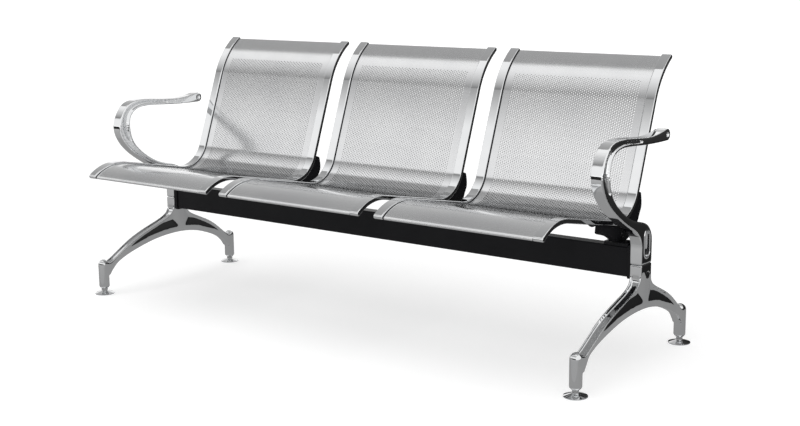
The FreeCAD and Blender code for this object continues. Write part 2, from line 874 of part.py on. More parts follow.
def leg(side):
    """Cast end frame: column, two arms over an arch, and an upright post at the end of each arm."""
    name = "right" if side > 0 else "left"
    body = new_body("leg_" + name, x="%d * %s" % (side, LEG_PLACE_TEXT))
    joint = joint_height()
    half = size("leg_width") / 2
    crown = Vec(size("beam_setback") - size("arch_crown_offset"), size("arch_crown_height"), 0)
    front_top = arm_points(-1, ARM_TOP)
    rear_top = arm_points(1, ARM_TOP)
    front_arch = arch_points(-1)
    rear_arch = arch_points(1)
    front_axis = Vec(post_axis(-1), 0, 0)
    rear_axis = Vec(post_axis(1), 0, 0)
    outline = [
        line(Vec(column_face(-1), joint, 0), front_top[0]),
        spline(front_top),
        spline(front_arch + [crown] + rear_arch[::-1]),
        spline(rear_top),
        line(rear_top[0], Vec(column_face(1), joint, 0)),
        line(Vec(column_face(1), joint, 0), Vec(column_face(-1), joint, 0)),
    ]
    ends = [(front_axis, front_top[-1], front_arch[0]), (rear_axis, rear_top[-1], rear_arch[0])]
    for axis, top, spring in ends:
        outline += polyline([top, Vec(axis.x, top.y, 0), Vec(axis.x, spring.y, 0), spring])
    casting = pad(body, new_sketch(body, "YZ_Plane", outline), "Sizes.leg_width", midplane=True)
    chamfer_joint(body, casting)
    narrow_arms(body)
    for side_of_face in (-1, 1):
        for arm, valley in ((-1, FRONT_VALLEY), (1, REAR_VALLEY)):
            points = arm_points(arm, valley)
            face = new_sketch(body, "YZ_Plane", [closed_spline(points)], offset=side_of_face * half)
            pocket(body, face, "Sizes.leg_valley_depth", backwards=side_of_face < 0)
    for arm in (-1, 1):
        pocket(body, new_sketch(body, "YZ_Plane", arm_groove(arm)), "Sizes.groove_width", midplane=True)
        revolve(body, post_outline(), offset=-post_axis(arm))
    stem = size("stem_diameter") + 2 * size("stem_clearance")
    bores = [circle(Vec(0, post_axis(arm), 0), stem) for arm in (-1, 1)]
    base = new_sketch(body, "XY_Plane", bores, offset=post_base_height() - 1)
    pocket(body, base, "Sizes.stem_travel + Sizes.stem_engagement + Sizes.stem_diameter / 2", backwards=True)
    cut_dowel_holes(body, backwards=False)
    bolt = Vec(size("beam_setback") + size("leg_bolt_offset"), leg_bolt_height(), 0)
    cut_bolt_hole(body, side, bolt)
    sunk = [circle(bolt, size("leg_bolt_head") + 2 * size("bolt_clearance"))]
    pocket(body, outer_face(body, side, sunk), "Sizes.leg_bolt_head_depth", backwards=side < 0)
    return body


def outer_face(body, side, curves):
    """A sketch on the face of a leg or armrest that looks away from the seats."""
    return new_sketch(body, "YZ_Plane", curves, offset=side * size("leg_width") / 2)


def chamfer_joint(body, base):
    """Breaks the edges at the joint between leg and armrest, which leaves a fine groove round it."""
    feature = body.newObject("PartDesign::Chamfer", body.Label + "_chamfer")
    feature.Base = (base, edges_at_z(base, joint_height()))
    feature.setExpression("Size", "Sizes.joint_chamfer")
    recompute(feature)
    return feature


def narrow_arms(body):
    """Thins the arms from the column's full width down to the width at the posts."""
    half = size("leg_width") / 2
    end = size("arm_end_width") / 2
    wedges = []
    for arm in (-1, 1):
        near = column_face(arm)
        far = post_axis(arm)
        for side in (-1, 1):
            start = Vec(side * half, near, 0)
            wedges += polygon([start, Vec(side * end, far, 0), Vec(side * (half + 1), far, 0)])
    pocket(body, new_sketch(body, "XY_Plane", wedges, offset=joint_height()), JOINT_HEIGHT_TEXT)


def post_outline():
    """Half section of a post: chamfered foot, cylinder and round top."""
    radius = size("post_diameter") / 2
    base = post_base_height()
    shoulder = size("post_shoulder_height")
    points = [
        Vec(0, shoulder + radius, 0),
        Vec(0, base, 0),
        Vec(size("post_base_diameter") / 2, base, 0),
        Vec(radius, base + size("post_chamfer_height"), 0),
        Vec(radius, shoulder, 0),
    ]
    dome = arc(points[-1], Vec(0, shoulder, 0) + unit(45) * radius, points[0])
    return polyline(points) + [dome]


def cut_dowel_holes(body, backwards):
    half = size("dowel_spacing") / 2
    diameter = size("dowel_diameter") + size("bolt_clearance")
    holes = [circle(Vec(0, size("beam_setback") + y, 0), diameter) for y in (-half, half)]
    joint = new_sketch(body, "XY_Plane", holes, offset=joint_height())
    pocket(body, joint, "Sizes.dowel_length / 2 + 0.5", backwards=backwards)


def cut_bolt_hole(body, side, place):
    hole = [circle(place, size("column_bolt_shank") + 2 * size("bolt_clearance"))]
    pocket(body, outer_face(body, side, hole), "Sizes.leg_width", backwards=side < 0)


# Armrests

# Side view of the armrest: share of its whole reach from front to rear, and share of its rise above the joint
ARMREST_EDGE = [
    (0.588, 0.18), (0.563, 0.226), (0.503, 0.273), (0.415, 0.32), (0.247, 0.423), (0.11, 0.535),
    (0.03, 0.643), (0, 0.755), (0.03, 0.865), (0.105, 0.96), (0.214, 0.995), (0.42, 0.99), (0.681, 0.969),
    (0.86, 0.984), (0.945, 1), (0.978, 0.994), (1, 0.957), (0.984, 0.919), (0.94, 0.91), (0.709, 0.913),
    (0.47, 0.927), (0.338, 0.933), (0.25, 0.925), (0.18, 0.895), (0.135, 0.84), (0.122, 0.76), (0.146, 0.631),
    (0.206, 0.543), (0.299, 0.464), (0.434, 0.385), (0.563, 0.344), (0.64, 0.322), (0.7, 0.285), (0.739, 0.23),
]
CRESCENT_OUTER = [
    (0.146, 0.593), (0.071, 0.687), (0.047, 0.784), (0.08, 0.887), (0.187, 0.955), (0.31, 0.972), (0.571, 0.952),
    (0.646, 0.955),
]
CRESCENT_INNER = [
    (0.146, 0.593), (0.112, 0.65), (0.097, 0.74), (0.11, 0.83), (0.146, 0.899), (0.234, 0.943), (0.368, 0.957),
    (0.497, 0.946), (0.646, 0.955),
]


def armrest_points(shares):
    front = size("beam_setback") - size("armrest_front_reach")
    reach = size("armrest_front_reach") + size("armrest_rear_reach")
    joint = joint_height()
    rise = size("armrest_top_height") - joint
    return [Vec(front + reach * a, joint + rise * b, 0) for a, b in shares]


def armrest_tip_hole():
    """Centre of the small blind hole near the bar's rear end."""
    rear = size("beam_setback") + size("armrest_rear_reach")
    return Vec(rear - size("tip_hole_inset"), size("armrest_top_height") - size("tip_hole_drop"), 0)


def armrest(side):
    """Cast armrest: its column stands on the leg, then one bar loops forward, up and back over the seat."""
    name = "right" if side > 0 else "left"
    body = new_body("armrest_" + name, x="%d * %s" % (side, LEG_PLACE_TEXT))
    joint = joint_height()
    front_foot = Vec(column_face(-1), joint, 0)
    rear_foot = Vec(column_face(1), joint, 0)
    front_top = Vec(column_face(-1), joint + size("armrest_column_front_rise"), 0)
    rear_top = Vec(column_face(1), joint + size("armrest_column_rear_rise"), 0)
    edge = [front_top] + armrest_points(ARMREST_EDGE) + [rear_top]
    outline = [
        line(front_foot, front_top),
        spline(edge, first_heading=Vec(0, 1, 0), last_heading=Vec(0, -1, 0)),
        line(rear_top, rear_foot),
        line(rear_foot, front_foot),
    ]
    casting = pad(body, new_sketch(body, "YZ_Plane", outline), "Sizes.leg_width", midplane=True)
    chamfer_joint(body, casting)
    oblong_centre = Vec(size("beam_setback"), oblong_height(), 0)
    bead = size("oblong_bead")
    rim = slot(oblong_centre, size("oblong_length") + 2 * bead, size("oblong_width") + 2 * bead)
    hollow = slot(oblong_centre, size("oblong_length"), size("oblong_width"))
    pad(body, outer_face(body, side, rim + hollow), "Sizes.oblong_bead_rise", backwards=side < 0)
    pocket(body, outer_face(body, side, hollow), "Sizes.oblong_depth", backwards=side < 0)
    crescent = [spline(armrest_points(CRESCENT_OUTER)), spline(armrest_points(CRESCENT_INNER))]
    pocket(body, outer_face(body, side, crescent), "Sizes.crescent_depth", backwards=side < 0)
    tip_hole = [circle(armrest_tip_hole(), size("tip_hole_diameter"))]
    pocket(body, outer_face(body, side, tip_hole), "Sizes.tip_hole_depth", backwards=side < 0)
    cut_dowel_holes(body, backwards=True)
    cut_bolt_hole(body, side, Vec(size("beam_setback"), armrest_bolt_height(), 0))
    return body


def column_dowels():
    """Plain dowels that line leg and armrest up across their joint."""
    dowels = []
    length = size("dowel_length")
    for side in (-1, 1):
        for half in (-0.5, 0.5):
            y = size("beam_setback") + half * size("dowel_spacing")
            place = Vec(side * leg_place(), y, joint_height() - length / 2)
            dowels.append(Part.makeCylinder(size("dowel_diameter") / 2, length, place))
    return group("column_dowels", dowels)


def column_bolt(side, head_diameter, head_rise, seat_depth, y, z):
    """A bolt that runs in along X to the end plate's inner face, its head on a seat this far below the face."""
    outer = leg_place() + size("leg_width") / 2 - seat_depth
    reach = outer - beam_half_length()
    head = Part.makeCylinder(head_diameter / 2, head_rise)
    shank = Part.makeCylinder(size("column_bolt_shank") / 2, reach, Vec(0, 0, -reach))
    bolt = joined(head, shank)
    turn = FreeCAD.Rotation(Vec(0, 1, 0), 90 * side)
    bolt.Placement = FreeCAD.Placement(Vec(side * outer, y, z), turn)
    return bolt


def leg_bolts():
    depth = size("leg_bolt_head_depth")
    y = size("beam_setback") + size("leg_bolt_offset")
    bolts = [column_bolt(s, size("leg_bolt_head"), depth, depth, y, leg_bolt_height()) for s in (-1, 1)]
    return group("leg_bolts", bolts)


def armrest_bolts():
    head = size("armrest_bolt_head")
    rise = size("armrest_bolt_head_rise")
    depth = size("oblong_depth")
    y = size("beam_setback")
    bolts = [column_bolt(s, head, rise, depth, y, armrest_bolt_height()) for s in (-1, 1)]
    return group("armrest_bolts", bolts)


# Levelling feet

def foot_place(side, arm):
    y = "Sizes.beam_setback - Sizes.beam_behind_feet + %d * Sizes.foot_spread / 2" % arm
    return "%d * %s" % (side, LEG_PLACE_TEXT), y


def foot(side, arm):
    """Rubber pad, disc, threaded stem and lock nut under one post."""
    name = ("front_" if arm < 0 else "rear_") + ("right" if side > 0 else "left")
    x, y = foot_place(side, arm)
    gauge = size("foot_pad_gauge")
    pad_radius = size("foot_pad_diameter") / 2
    turned("foot_pad_" + name, polygon([Vec(0, 0, 0), Vec(pad_radius, 0, 0), Vec(pad_radius, gauge, 0),
                                        Vec(0, gauge, 0)]), x, y)
    boss = size("foot_boss_diameter") / 2
    bore = size("stem_diameter") / 2 + size("stem_clearance")
    recess = pad_radius + size("foot_pad_clearance")
    disc = recess + size("foot_rim_wall")
    floor = size("stem_foot_height")
    outline = polygon([
        Vec(0, gauge, 0),
        Vec(recess, gauge, 0),
        Vec(recess, size("foot_pad_proud"), 0),
        Vec(disc, size("foot_pad_proud"), 0),
        Vec(disc, size("foot_rim_height"), 0),
        Vec(boss, size("foot_cone_height"), 0),
        Vec(boss, foot_boss_height(), 0),
        Vec(bore, foot_boss_height(), 0),
        Vec(bore, floor, 0),
        Vec(0, floor, 0),
    ])
    turned("foot_disc_" + name, outline, x, y)
    stem = size("stem_diameter") / 2
    low = floor + 0.2
    high = stem_top_height()
    tip = [Vec(0, low, 0), Vec(stem - 1, low, 0), Vec(stem, low + 1, 0), Vec(stem, high - 1, 0),
           Vec(stem - 1, high, 0), Vec(0, high, 0)]
    turned("foot_stem_" + name, polygon(tip), x, y)
    nut = new_body("foot_lock_nut_" + name, x, y)
    base = post_base_height() - size("lock_nut_height")
    flats = hexagon(Vec(0, 0, 0), size("lock_nut_flats"))
    hole = circle(Vec(0, 0, 0), size("stem_diameter") + 2 * size("stem_clearance"))
    pad(nut, new_sketch(nut, "XY_Plane", flats + [hole], offset=base), "Sizes.lock_nut_height")


def check_pieces():
    for obj in DOC.Objects:
        if "Invalid" in obj.State or "Error" in obj.State:
            raise RuntimeError(obj.Name + " failed: " + str(obj.State))
    for piece in PIECES:
        shape = piece.Shape
        if shape.isNull() or not shape.isValid() or not shape.Solids:
            raise RuntimeError(piece.Label + " has no valid solid")


def write_pieces():
    os.makedirs("parts", exist_ok=True)
    whole = FreeCAD.BoundBox()
    for piece in PIECES:
        piece.Shape.exportStep("parts/" + piece.Label + ".step")
        whole.add(piece.Shape.BoundBox)
    print("%d pieces, %.1f x %.1f x %.1f mm, from %.1f %.1f %.1f" % (
        len(PIECES), whole.XLength, whole.YLength, whole.ZLength, whole.XMin, whole.YMin, whole.ZMin))


fill_sheet()
for seat_index in range(3):
    seat_panel(seat_index)
    for seat_side in (-1, 1):
        seat_trim(seat_index, seat_side)
        seat_bracket(seat_index, seat_side)
trim_screws()
beam_tube()
base_bolts()
base_nuts()
web_screws()
for end in (-1, 1):
    end_plate(end)
    leg(end)
    armrest(end)
    for arm_side in (-1, 1):
        foot(end, arm_side)
column_dowels()
leg_bolts()
armrest_bolts()
DOC.recompute()
check_pieces()
write_pieces()
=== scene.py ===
# Three perforated metal seats on a beam between two cast end frames,
# dressed and lit for the photographed view.
# Metres, +Z up, X along the beam, -Y is the side people sit down from.
import math

import bpy
import numpy as np
from mathutils import Matrix, Vector
from mathutils.kdtree import KDTree

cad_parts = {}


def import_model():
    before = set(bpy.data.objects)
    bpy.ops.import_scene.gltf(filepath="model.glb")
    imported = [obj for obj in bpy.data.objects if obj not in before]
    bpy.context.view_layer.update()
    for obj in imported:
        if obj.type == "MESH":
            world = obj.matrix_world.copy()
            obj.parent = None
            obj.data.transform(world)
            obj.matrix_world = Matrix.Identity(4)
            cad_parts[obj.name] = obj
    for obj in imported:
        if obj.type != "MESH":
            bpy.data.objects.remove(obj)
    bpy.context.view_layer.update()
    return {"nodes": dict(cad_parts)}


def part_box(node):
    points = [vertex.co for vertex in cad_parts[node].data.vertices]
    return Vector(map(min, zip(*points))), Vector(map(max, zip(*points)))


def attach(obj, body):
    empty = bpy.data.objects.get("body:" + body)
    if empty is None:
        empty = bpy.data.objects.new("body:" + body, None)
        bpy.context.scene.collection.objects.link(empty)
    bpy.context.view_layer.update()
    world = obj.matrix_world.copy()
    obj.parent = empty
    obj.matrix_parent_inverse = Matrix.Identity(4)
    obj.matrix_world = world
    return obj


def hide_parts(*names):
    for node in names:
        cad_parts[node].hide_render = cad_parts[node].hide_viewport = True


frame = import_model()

MM = 0.001
SEATS = (1, 2, 3)
SIDES = ("left", "right")

# The seat's side view, as in the CAD model
BEAM_Y = 66.8 * MM
BEND_BEFORE_BEAM = 22.5 * MM
BEND_LOW = 383.5 * MM
BEND_RADIUS = 95.5 * MM
BEND_CENTRE = (BEAM_Y - BEND_BEFORE_BEAM, BEND_LOW + BEND_RADIUS)
SEAT_STRAIGHT = 248 * MM
BACK_STRAIGHT = 250 * MM
FRONT_CURL_RADIUS = 154 * MM
FRONT_CURL_TURN = math.radians(47)
TOP_CURL_RADIUS = 237 * MM
TOP_CURL_TURN = math.radians(35.3)

# Directions of the seat's and the back's normals, turned from +Y towards +Z
SEAT_SLOPE = 10.7
BACK_SLOPE = 20.3
SEAT_NORMAL = math.radians(90 - SEAT_SLOPE)
BACK_NORMAL = math.radians(180 - BACK_SLOPE)

# Sheets, with a strip of painted shade beside each trim for the gap there, and an edge rolled back at the
# front and at the top
SHEET_DEPTH = 6 * MM
SHEET_GAUGE = 2.4 * MM
SHEET_INTO_TRIM = 4 * MM
SHADE_STRIP_WIDTH = 3 * MM
HEM_OUTER_RADIUS = 4 * MM
HEM_RETURN = 9 * MM
HEM_STEPS = 10
PLAIN_STEP = 4 * MM
SEAT_SHARE_OF_ROWS = 0.5

# Perforation: staggered columns of holes that run up the seat and the back
HOLE_RADIUS = 2.0 * MM
HOLE_SIDES = 8
HOLE_COLUMNS = 62
COLUMN_PITCH = 6.5 * MM
ROW_PITCH = 7.5 * MM
FIELD_BEHIND_FRONT_CURL = 7 * MM
FIELD_ON_TOP_CURL = 60 * MM

# Trims, with the number of steps along each stretch of the side view, round a nose and round an edge
TRIM_THICKNESS = 13 * MM
TRIM_EDGE_RADIUS = 2.2 * MM
TRIM_STEPS = (24, 12, 36, 12, 20)
TRIM_NOSE_STEPS = 12
TRIM_EDGE_STEPS = 6


# Side view

class SidePath:
    """A chain of straight and round stretches in the YZ plane, walked from the front edge to the top.

    The sitter's side is on the left of the way.
    """

    def __init__(self, stretches, heading):
        self.stretches = stretches
        self.offset = np.zeros(2)
        self.places = [0.0]
        self.points = [np.zeros(2)]
        self.headings = [heading]
        for length, turn in stretches:
            point, last = self._step(self.points[-1], self.headings[-1], length, turn, length)
            self.places.append(self.places[-1] + length)
            self.points.append(point)
            self.headings.append(last)

    @staticmethod
    def _step(point, heading, length, turn, distance):
        """Point and heading this far along a stretch of this length and turn."""
        curvature = turn / length
        end = heading + curvature * distance
        if turn:
            run_y = (np.sin(end) - np.sin(heading)) / curvature
            run_z = (np.cos(heading) - np.cos(end)) / curvature
        else:
            run_y = np.cos(end) * distance
            run_z = np.sin(end) * distance
        return point + np.stack([run_y, run_z], axis=-1), end

    def put(self, index, point):
        """Moves the path so that its stretch of this index starts at the point."""
        self.offset = np.array(point) - self.points[index]

    def at(self, distances):
        """Points and sitter-side normals, as (Y, Z) pairs, at these distances along the path."""
        distances = np.asarray(distances, float)
        found = np.zeros(distances.shape + (2,))
        angles = np.zeros(distances.shape)
        # The first and the last stretch also hold what lies beyond the path's ends
        for k, (length, turn) in enumerate(self.stretches):
            first = self.places[k] if k else -math.inf
            last = self.places[k + 1] if k + 1 < len(self.stretches) else math.inf
            here = (distances >= first) & (distances < last)
            run = distances[here] - self.places[k]
            found[here], angles[here] = self._step(self.points[k], self.headings[k], length, turn, run)
        normals = np.stack([-np.sin(angles), np.cos(angles)], axis=-1)
        return found + self.offset, normals


def seat_stretches(depth):
    """Length and turn of each stretch of the seat's side view, this far behind the trims' upper side."""
    bend = BACK_NORMAL - SEAT_NORMAL
    return [
        ((FRONT_CURL_RADIUS - depth) * FRONT_CURL_TURN, -FRONT_CURL_TURN),
        (SEAT_STRAIGHT, 0.0),
        ((BEND_RADIUS + depth) * bend, bend),
        (BACK_STRAIGHT, 0.0),
        ((TOP_CURL_RADIUS - depth) * TOP_CURL_TURN, -TOP_CURL_TURN),
    ]


def seat_path(depth, before=(), after=()):
    """The seat's side view at this depth, with further stretches before and after it."""
    heading = SEAT_NORMAL - math.pi / 2 + FRONT_CURL_TURN - sum(turn for length, turn in before)
    path = SidePath(list(before) + seat_stretches(depth) + list(after), heading)
    reach = BEND_RADIUS + depth
    bend_y = BEND_CENTRE[0] - math.cos(SEAT_NORMAL) * reach
    bend_z = BEND_CENTRE[1] - math.sin(SEAT_NORMAL) * reach
    path.put(len(before) + 2, (bend_y, bend_z))
    return path


# Meshes

def mesh_from(name, points, polygons, smooth=True):
    """A mesh from points and from arrays of polygons, one array for each number of corners.

    Points that no polygon uses are left out. The second result says which points are in.
    """
    corners = np.concatenate([group.ravel() for group in polygons])
    counts = np.concatenate([np.full(len(group), group.shape[1]) for group in polygons])
    used, corners = np.unique(corners, return_inverse=True)
    mesh = bpy.data.meshes.new(name)
    mesh.vertices.add(len(used))
    mesh.vertices.foreach_set("co", np.asarray(points)[used].astype(np.float32).ravel())
    mesh.loops.add(len(corners))
    mesh.loops.foreach_set("vertex_index", corners.ravel().astype(np.int32))
    mesh.polygons.add(len(counts))
    starts = np.concatenate([[0], np.cumsum(counts)[:-1]])
    mesh.polygons.foreach_set("loop_start", starts.astype(np.int32))
    mesh.polygons.foreach_set("use_smooth", np.full(len(counts), smooth))
    mesh.update(calc_edges=True)
    mesh.validate()
    return mesh, used


def in_space(x, side_points):
    """Points with this X and the side view's (Y, Z)."""
    x = np.broadcast_to(x, side_points.shape[:-1])
    return np.concatenate([x[..., None], side_points], axis=-1)


def middle_x(node):
    """The X of the middle of a CAD node."""
    low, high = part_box(node)
    return (low.x + high.x) / 2


def show(name, mesh, materials, node, at_x=0.0):
    """Puts a mesh into the scene in place of this CAD node."""
    piece = bpy.data.objects.new(name, mesh)
    bpy.context.scene.collection.objects.link(piece)
    piece.location.x = at_x
    if not mesh.materials:
        for material in materials:
            mesh.materials.append(material)
    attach(piece, "bench")
    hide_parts(node)


# Perforated sheets

def sheet_stations(path):
    """Distances along the sheet, and the numbers of the first and last one of the perforated field."""
    hem_start, hem_end, seat_start = path.places[1:4]
    top_curl_start, high_hem_start, high_hem_end, sheet_end = path.places[6:]
    field_start = seat_start + FIELD_BEHIND_FRONT_CURL
    rows = round((top_curl_start + FIELD_ON_TOP_CURL - field_start) / ROW_PITCH)
    field = field_start + ROW_PITCH / 2 * np.arange(2 * rows + 1)
    low_hem = np.linspace(hem_start, hem_end, HEM_STEPS + 1)
    high_hem = np.linspace(high_hem_start, high_hem_end, HEM_STEPS + 1)
    steps_before = round((field_start - hem_end) / PLAIN_STEP)
    steps_after = round((high_hem_start - field[-1]) / PLAIN_STEP)
    before = np.linspace(hem_end, field_start, steps_before, endpoint=False)[1:]
    after = np.linspace(field[-1], high_hem_start, steps_after)[1:-1]
    stations = np.concatenate([[0.0], low_hem, before, field, after, high_hem, [sheet_end]])
    first_row = 1 + len(low_hem) + len(before)
    return stations, first_row, first_row + 2 * rows


def sheet_lines(half_width):
    """X of the lines up the sheet: its border, the inner sides of the painted shade strips beside the trims
    and the field's columns.
    """
    field_half = HOLE_COLUMNS / 2 * COLUMN_PITCH
    columns = np.linspace(-field_half, field_half, HOLE_COLUMNS + 1)
    # Painted shade runs from this line out to the sheet's border, for the gap at the trim
    shade_strip_x = half_width - SHEET_INTO_TRIM - SHADE_STRIP_WIDTH
    return np.concatenate([[-half_width, -shade_strip_x], columns, [shade_strip_x, half_width]])


def hole_cells(first_row, last_row):
    """Column and lowest row of each hole's cell, among the sheet's lines and stations.

    A cell is two rows high, and every second column starts one row later.
    """
    lines_before_field = 2
    columns, rows = [], []
    for column in range(HOLE_COLUMNS):
        starts = np.arange(first_row + column % 2, last_row - 1, 2)
        columns.append(np.full(len(starts), column + lines_before_field))
        rows.append(starts)
    return np.concatenate(columns), np.concatenate(rows)


def both_faces(path, x, distances):
    """Points of the sheet's near and far face with this X, at these distances along its side view."""
    near, normals = path.at(distances)
    far = near - normals * SHEET_GAUGE
    return in_space(x, near).reshape(-1, 3), in_space(x, far).reshape(-1, 3)


def hole_ring_faces(outer, rim):
    """The flat round one hole: faces between the six corners of its cell and the eight points of its rim.

    The corners run anticlockwise from the middle of the right side, the rim from the right.
    """
    middle_right, top_right, top_left, middle_left, low_left, low_right = outer
    quads = [
        (middle_right, top_right, rim[1], rim[0]),
        (top_left, middle_left, rim[4], rim[3]),
        (middle_left, low_left, rim[5], rim[4]),
        (low_right, middle_right, rim[0], rim[7]),
    ]
    pentagons = [
        (top_right, top_left, rim[3], rim[2], rim[1]),
        (low_left, low_right, rim[7], rim[6], rim[5]),
    ]
    return [np.stack(q, axis=-1) for q in quads], [np.stack(p, axis=-1) for p in pentagons]


def border_faces(across, along):
    """Faces that join the near to the far grid: left and right side, low and high end."""
    to_far = across * along
    rows = np.arange(along - 1)
    left = np.stack([rows + 1, rows, rows + to_far, rows + 1 + to_far], axis=-1)
    right = left[:, ::-1] + (across - 1) * along
    starts = np.arange(across - 1) * along
    low = np.stack([starts + to_far, starts + along + to_far, starts + along, starts], axis=-1)
    high = low[:, ::-1] + along - 1
    return left, right, low, high


def mark_sharp(mesh, on_far_face, on_edge):
    """Keeps the holes' rims and the sheet's border crisp.

    An edge is sharp where both its points are on the same face of the sheet and on a rim or the border.
    """
    ends = np.zeros(2 * len(mesh.edges), np.int32)
    mesh.edges.foreach_get("vertices", ends)
    ends = ends.reshape(-1, 2)
    both_on_edge = on_edge[ends].all(axis=1)
    same_face = on_far_face[ends[:, 0]] == on_far_face[ends[:, 1]]
    sharp = mesh.attributes.get("sharp_edge") or mesh.attributes.new("sharp_edge", "BOOLEAN", "EDGE")
    sharp.data.foreach_set("value", both_on_edge & same_face)


def perforated_sheet(half_width):
    """Meshes of the seat's and the back's part of one bent sheet with real holes and rolled edges."""
    hem_turn = (math.pi * HEM_OUTER_RADIUS, -math.pi)
    hem_end = (HEM_RETURN, 0.0)
    path = seat_path(SHEET_DEPTH, before=(hem_end, hem_turn), after=(hem_turn, hem_end))
    stations, first_row, last_row = sheet_stations(path)
    lines = sheet_lines(half_width)
    across, along = len(lines), len(stations)
    column, row = hole_cells(first_row, last_row)

    # Points: a grid on the near face, the same on the far face, then the holes' rims on both
    near, far = both_faces(path, lines[:, None], np.broadcast_to(stations, (across, along)))
    angles = 2 * math.pi * np.arange(HOLE_SIDES) / HOLE_SIDES
    centre_x = (lines[column] + lines[column + 1]) / 2
    rim_x = centre_x[:, None] + HOLE_RADIUS * np.cos(angles)
    rim_near, rim_far = both_faces(path, rim_x, stations[row + 1][:, None] + HOLE_RADIUS * np.sin(angles))
    points = np.concatenate([near, far, rim_near, rim_far])
    to_far = len(near)
    first_rim = 2 * to_far
    first_far_rim = first_rim + len(rim_near)

    def grid(i, r):
        """Number of the near face's point on this line and station."""
        return i * along + r

    # Faces round the holes and inside them
    rim = first_rim + np.arange(len(rim_near)).reshape(-1, HOLE_SIDES)
    far_rim = rim + len(rim_near)
    outer = [
        grid(column + 1, row + 1), grid(column + 1, row + 2), grid(column, row + 2),
        grid(column, row + 1), grid(column, row), grid(column + 1, row),
    ]
    quads, pentagons = hole_ring_faces(outer, rim.T)
    far_quads, far_pentagons = hole_ring_faces([index + to_far for index in outer], far_rim.T)
    walls = np.stack([rim, np.roll(rim, -1, axis=1), np.roll(far_rim, -1, axis=1), far_rim], axis=-1)

    # Faces where no hole is, and round the sheet's border
    solid = np.ones((across - 1, along - 1), bool)
    solid[column, row] = False
    solid[column, row + 1] = False
    i, r = np.nonzero(solid)
    plain = np.stack([grid(i, r), grid(i + 1, r), grid(i + 1, r + 1), grid(i, r + 1)], axis=-1)
    in_shade_strip = np.isin(i, (0, across - 2))
    left, right, low, high = border_faces(across, along)

    split = first_row + 2 * round((last_row - first_row) / 2 * SEAT_SHARE_OF_ROWS)
    meshes = []
    for name, above in (("seat_sheet_mesh", False), ("back_sheet_mesh", True)):
        holes = (row >= split) == above
        cells = (r >= split) == above
        edges = (np.arange(along - 1) >= split) == above
        round_holes = [face[holes] for face in quads] + [face[holes][:, ::-1] for face in far_quads]
        in_holes = walls[holes].reshape(-1, 4)
        groups = round_holes + [in_holes, plain[cells], plain[cells][:, ::-1] + to_far]
        groups += [left[edges], right[edges], high if above else low]
        groups += [face[holes] for face in pentagons] + [face[holes][:, ::-1] for face in far_pentagons]
        mesh, used = mesh_from(name, points, groups)

        # The second material, painted shade: inside the holes and on the near face's strips beside the
        # trims, where the gap to the trim is in shade
        first_wall = sum(len(group) for group in round_holes)
        first_plain = first_wall + len(in_holes)
        shade_faces = np.zeros(len(mesh.polygons), np.int32)
        shade_faces[first_wall:first_plain] = 1
        # Plain cells in the strips beside the trims get the painted shade material
        shade_faces[first_plain:first_plain + cells.sum()] = in_shade_strip[cells]
        mesh.polygons.foreach_set("material_index", shade_faces)

        on_rim = used >= first_rim
        on_far_face = np.where(on_rim, used >= first_far_rim, used >= to_far)
        line, station = np.divmod(used % to_far, along)
        on_border = np.isin(line, (0, across - 1)) | np.isin(station, (0, along - 1))
        mark_sharp(mesh, on_far_face, on_rim | on_border)
        meshes.append(mesh)
    return meshes


# Trims

def nose_directions(normal, onward):
    """Directions round one end of a trim, from the upper side over the tip to the underside."""
    angles = np.linspace(0, math.pi, TRIM_NOSE_STEPS + 1)[1:-1]
    return np.array([normal * math.cos(a) + onward * math.sin(a) for a in angles])


def cap_faces(stations, nose_points):
    """Quads between the upper and lower half of the side outline."""
    around = 2 * stations + 2 * nose_points
    upper = np.arange(-(nose_points // 2), stations + nose_points // 2)
    lower = 2 * stations + nose_points - 1 - upper
    upper = upper % around
    lower = lower % around
    return np.stack([upper[:-1], upper[1:], lower[1:], lower[:-1]], axis=-1)


def trim_mesh(width):
    """Bright bar with all its edges rounded, swept along the seat's side view."""
    path = seat_path(0.0)
    stretches = [np.linspace(path.places[k], path.places[k + 1], count, endpoint=False)
                 for k, count in enumerate(TRIM_STEPS)]
    stations = np.concatenate(stretches + [[path.places[-1]]])
    surface, normals = path.at(stations)
    onward = np.stack([normals[:, 1], -normals[:, 0]], axis=-1)
    middle = TRIM_THICKNESS / 2
    top_nose = nose_directions(normals[-1], onward[-1])
    top_centre = surface[-1] - normals[-1] * middle
    front_nose = nose_directions(normals[0], -onward[0])[::-1]
    front_centre = surface[0] - normals[0] * middle

    # One loop round the bar for each step over its left and right edges
    outward = np.concatenate([normals, top_nose, -normals[::-1], front_nose])
    angles = np.linspace(0, math.pi / 2, TRIM_EDGE_STEPS + 1)
    loops, loop_normals = [], []
    for side, angle in [(-1, a) for a in angles] + [(1, a) for a in angles[::-1]]:
        inset = TRIM_EDGE_RADIUS * (1 - math.sin(angle))
        x = side * (width / 2 - TRIM_EDGE_RADIUS * (1 - math.cos(angle)))
        upper = surface - normals * inset
        lower = surface - normals * (TRIM_THICKNESS - inset)
        round_top = top_centre + top_nose * (middle - inset)
        round_front = front_centre + front_nose * (middle - inset)
        loops.append(in_space(x, np.concatenate([upper, round_top, lower[::-1], round_front])))
        loop_normals.append(in_space(side * math.cos(angle), outward * math.sin(angle)))

    around = len(outward)
    here = np.arange(around)
    after = (here + 1) % around
    first_face = np.stack([here, here + around, after + around, after], axis=-1)
    faces = [first_face + n * around for n in range(len(loops) - 1)]
    left_cap = cap_faces(len(stations), len(top_nose))
    right_cap = left_cap[:, ::-1] + (len(loops) - 1) * around
    mesh, used = mesh_from("trim_mesh", np.concatenate(loops), faces + [left_cap, right_cap])
    mesh.normals_split_custom_set_from_vertices(np.concatenate(loop_normals)[used].tolist())
    return mesh


# Castings

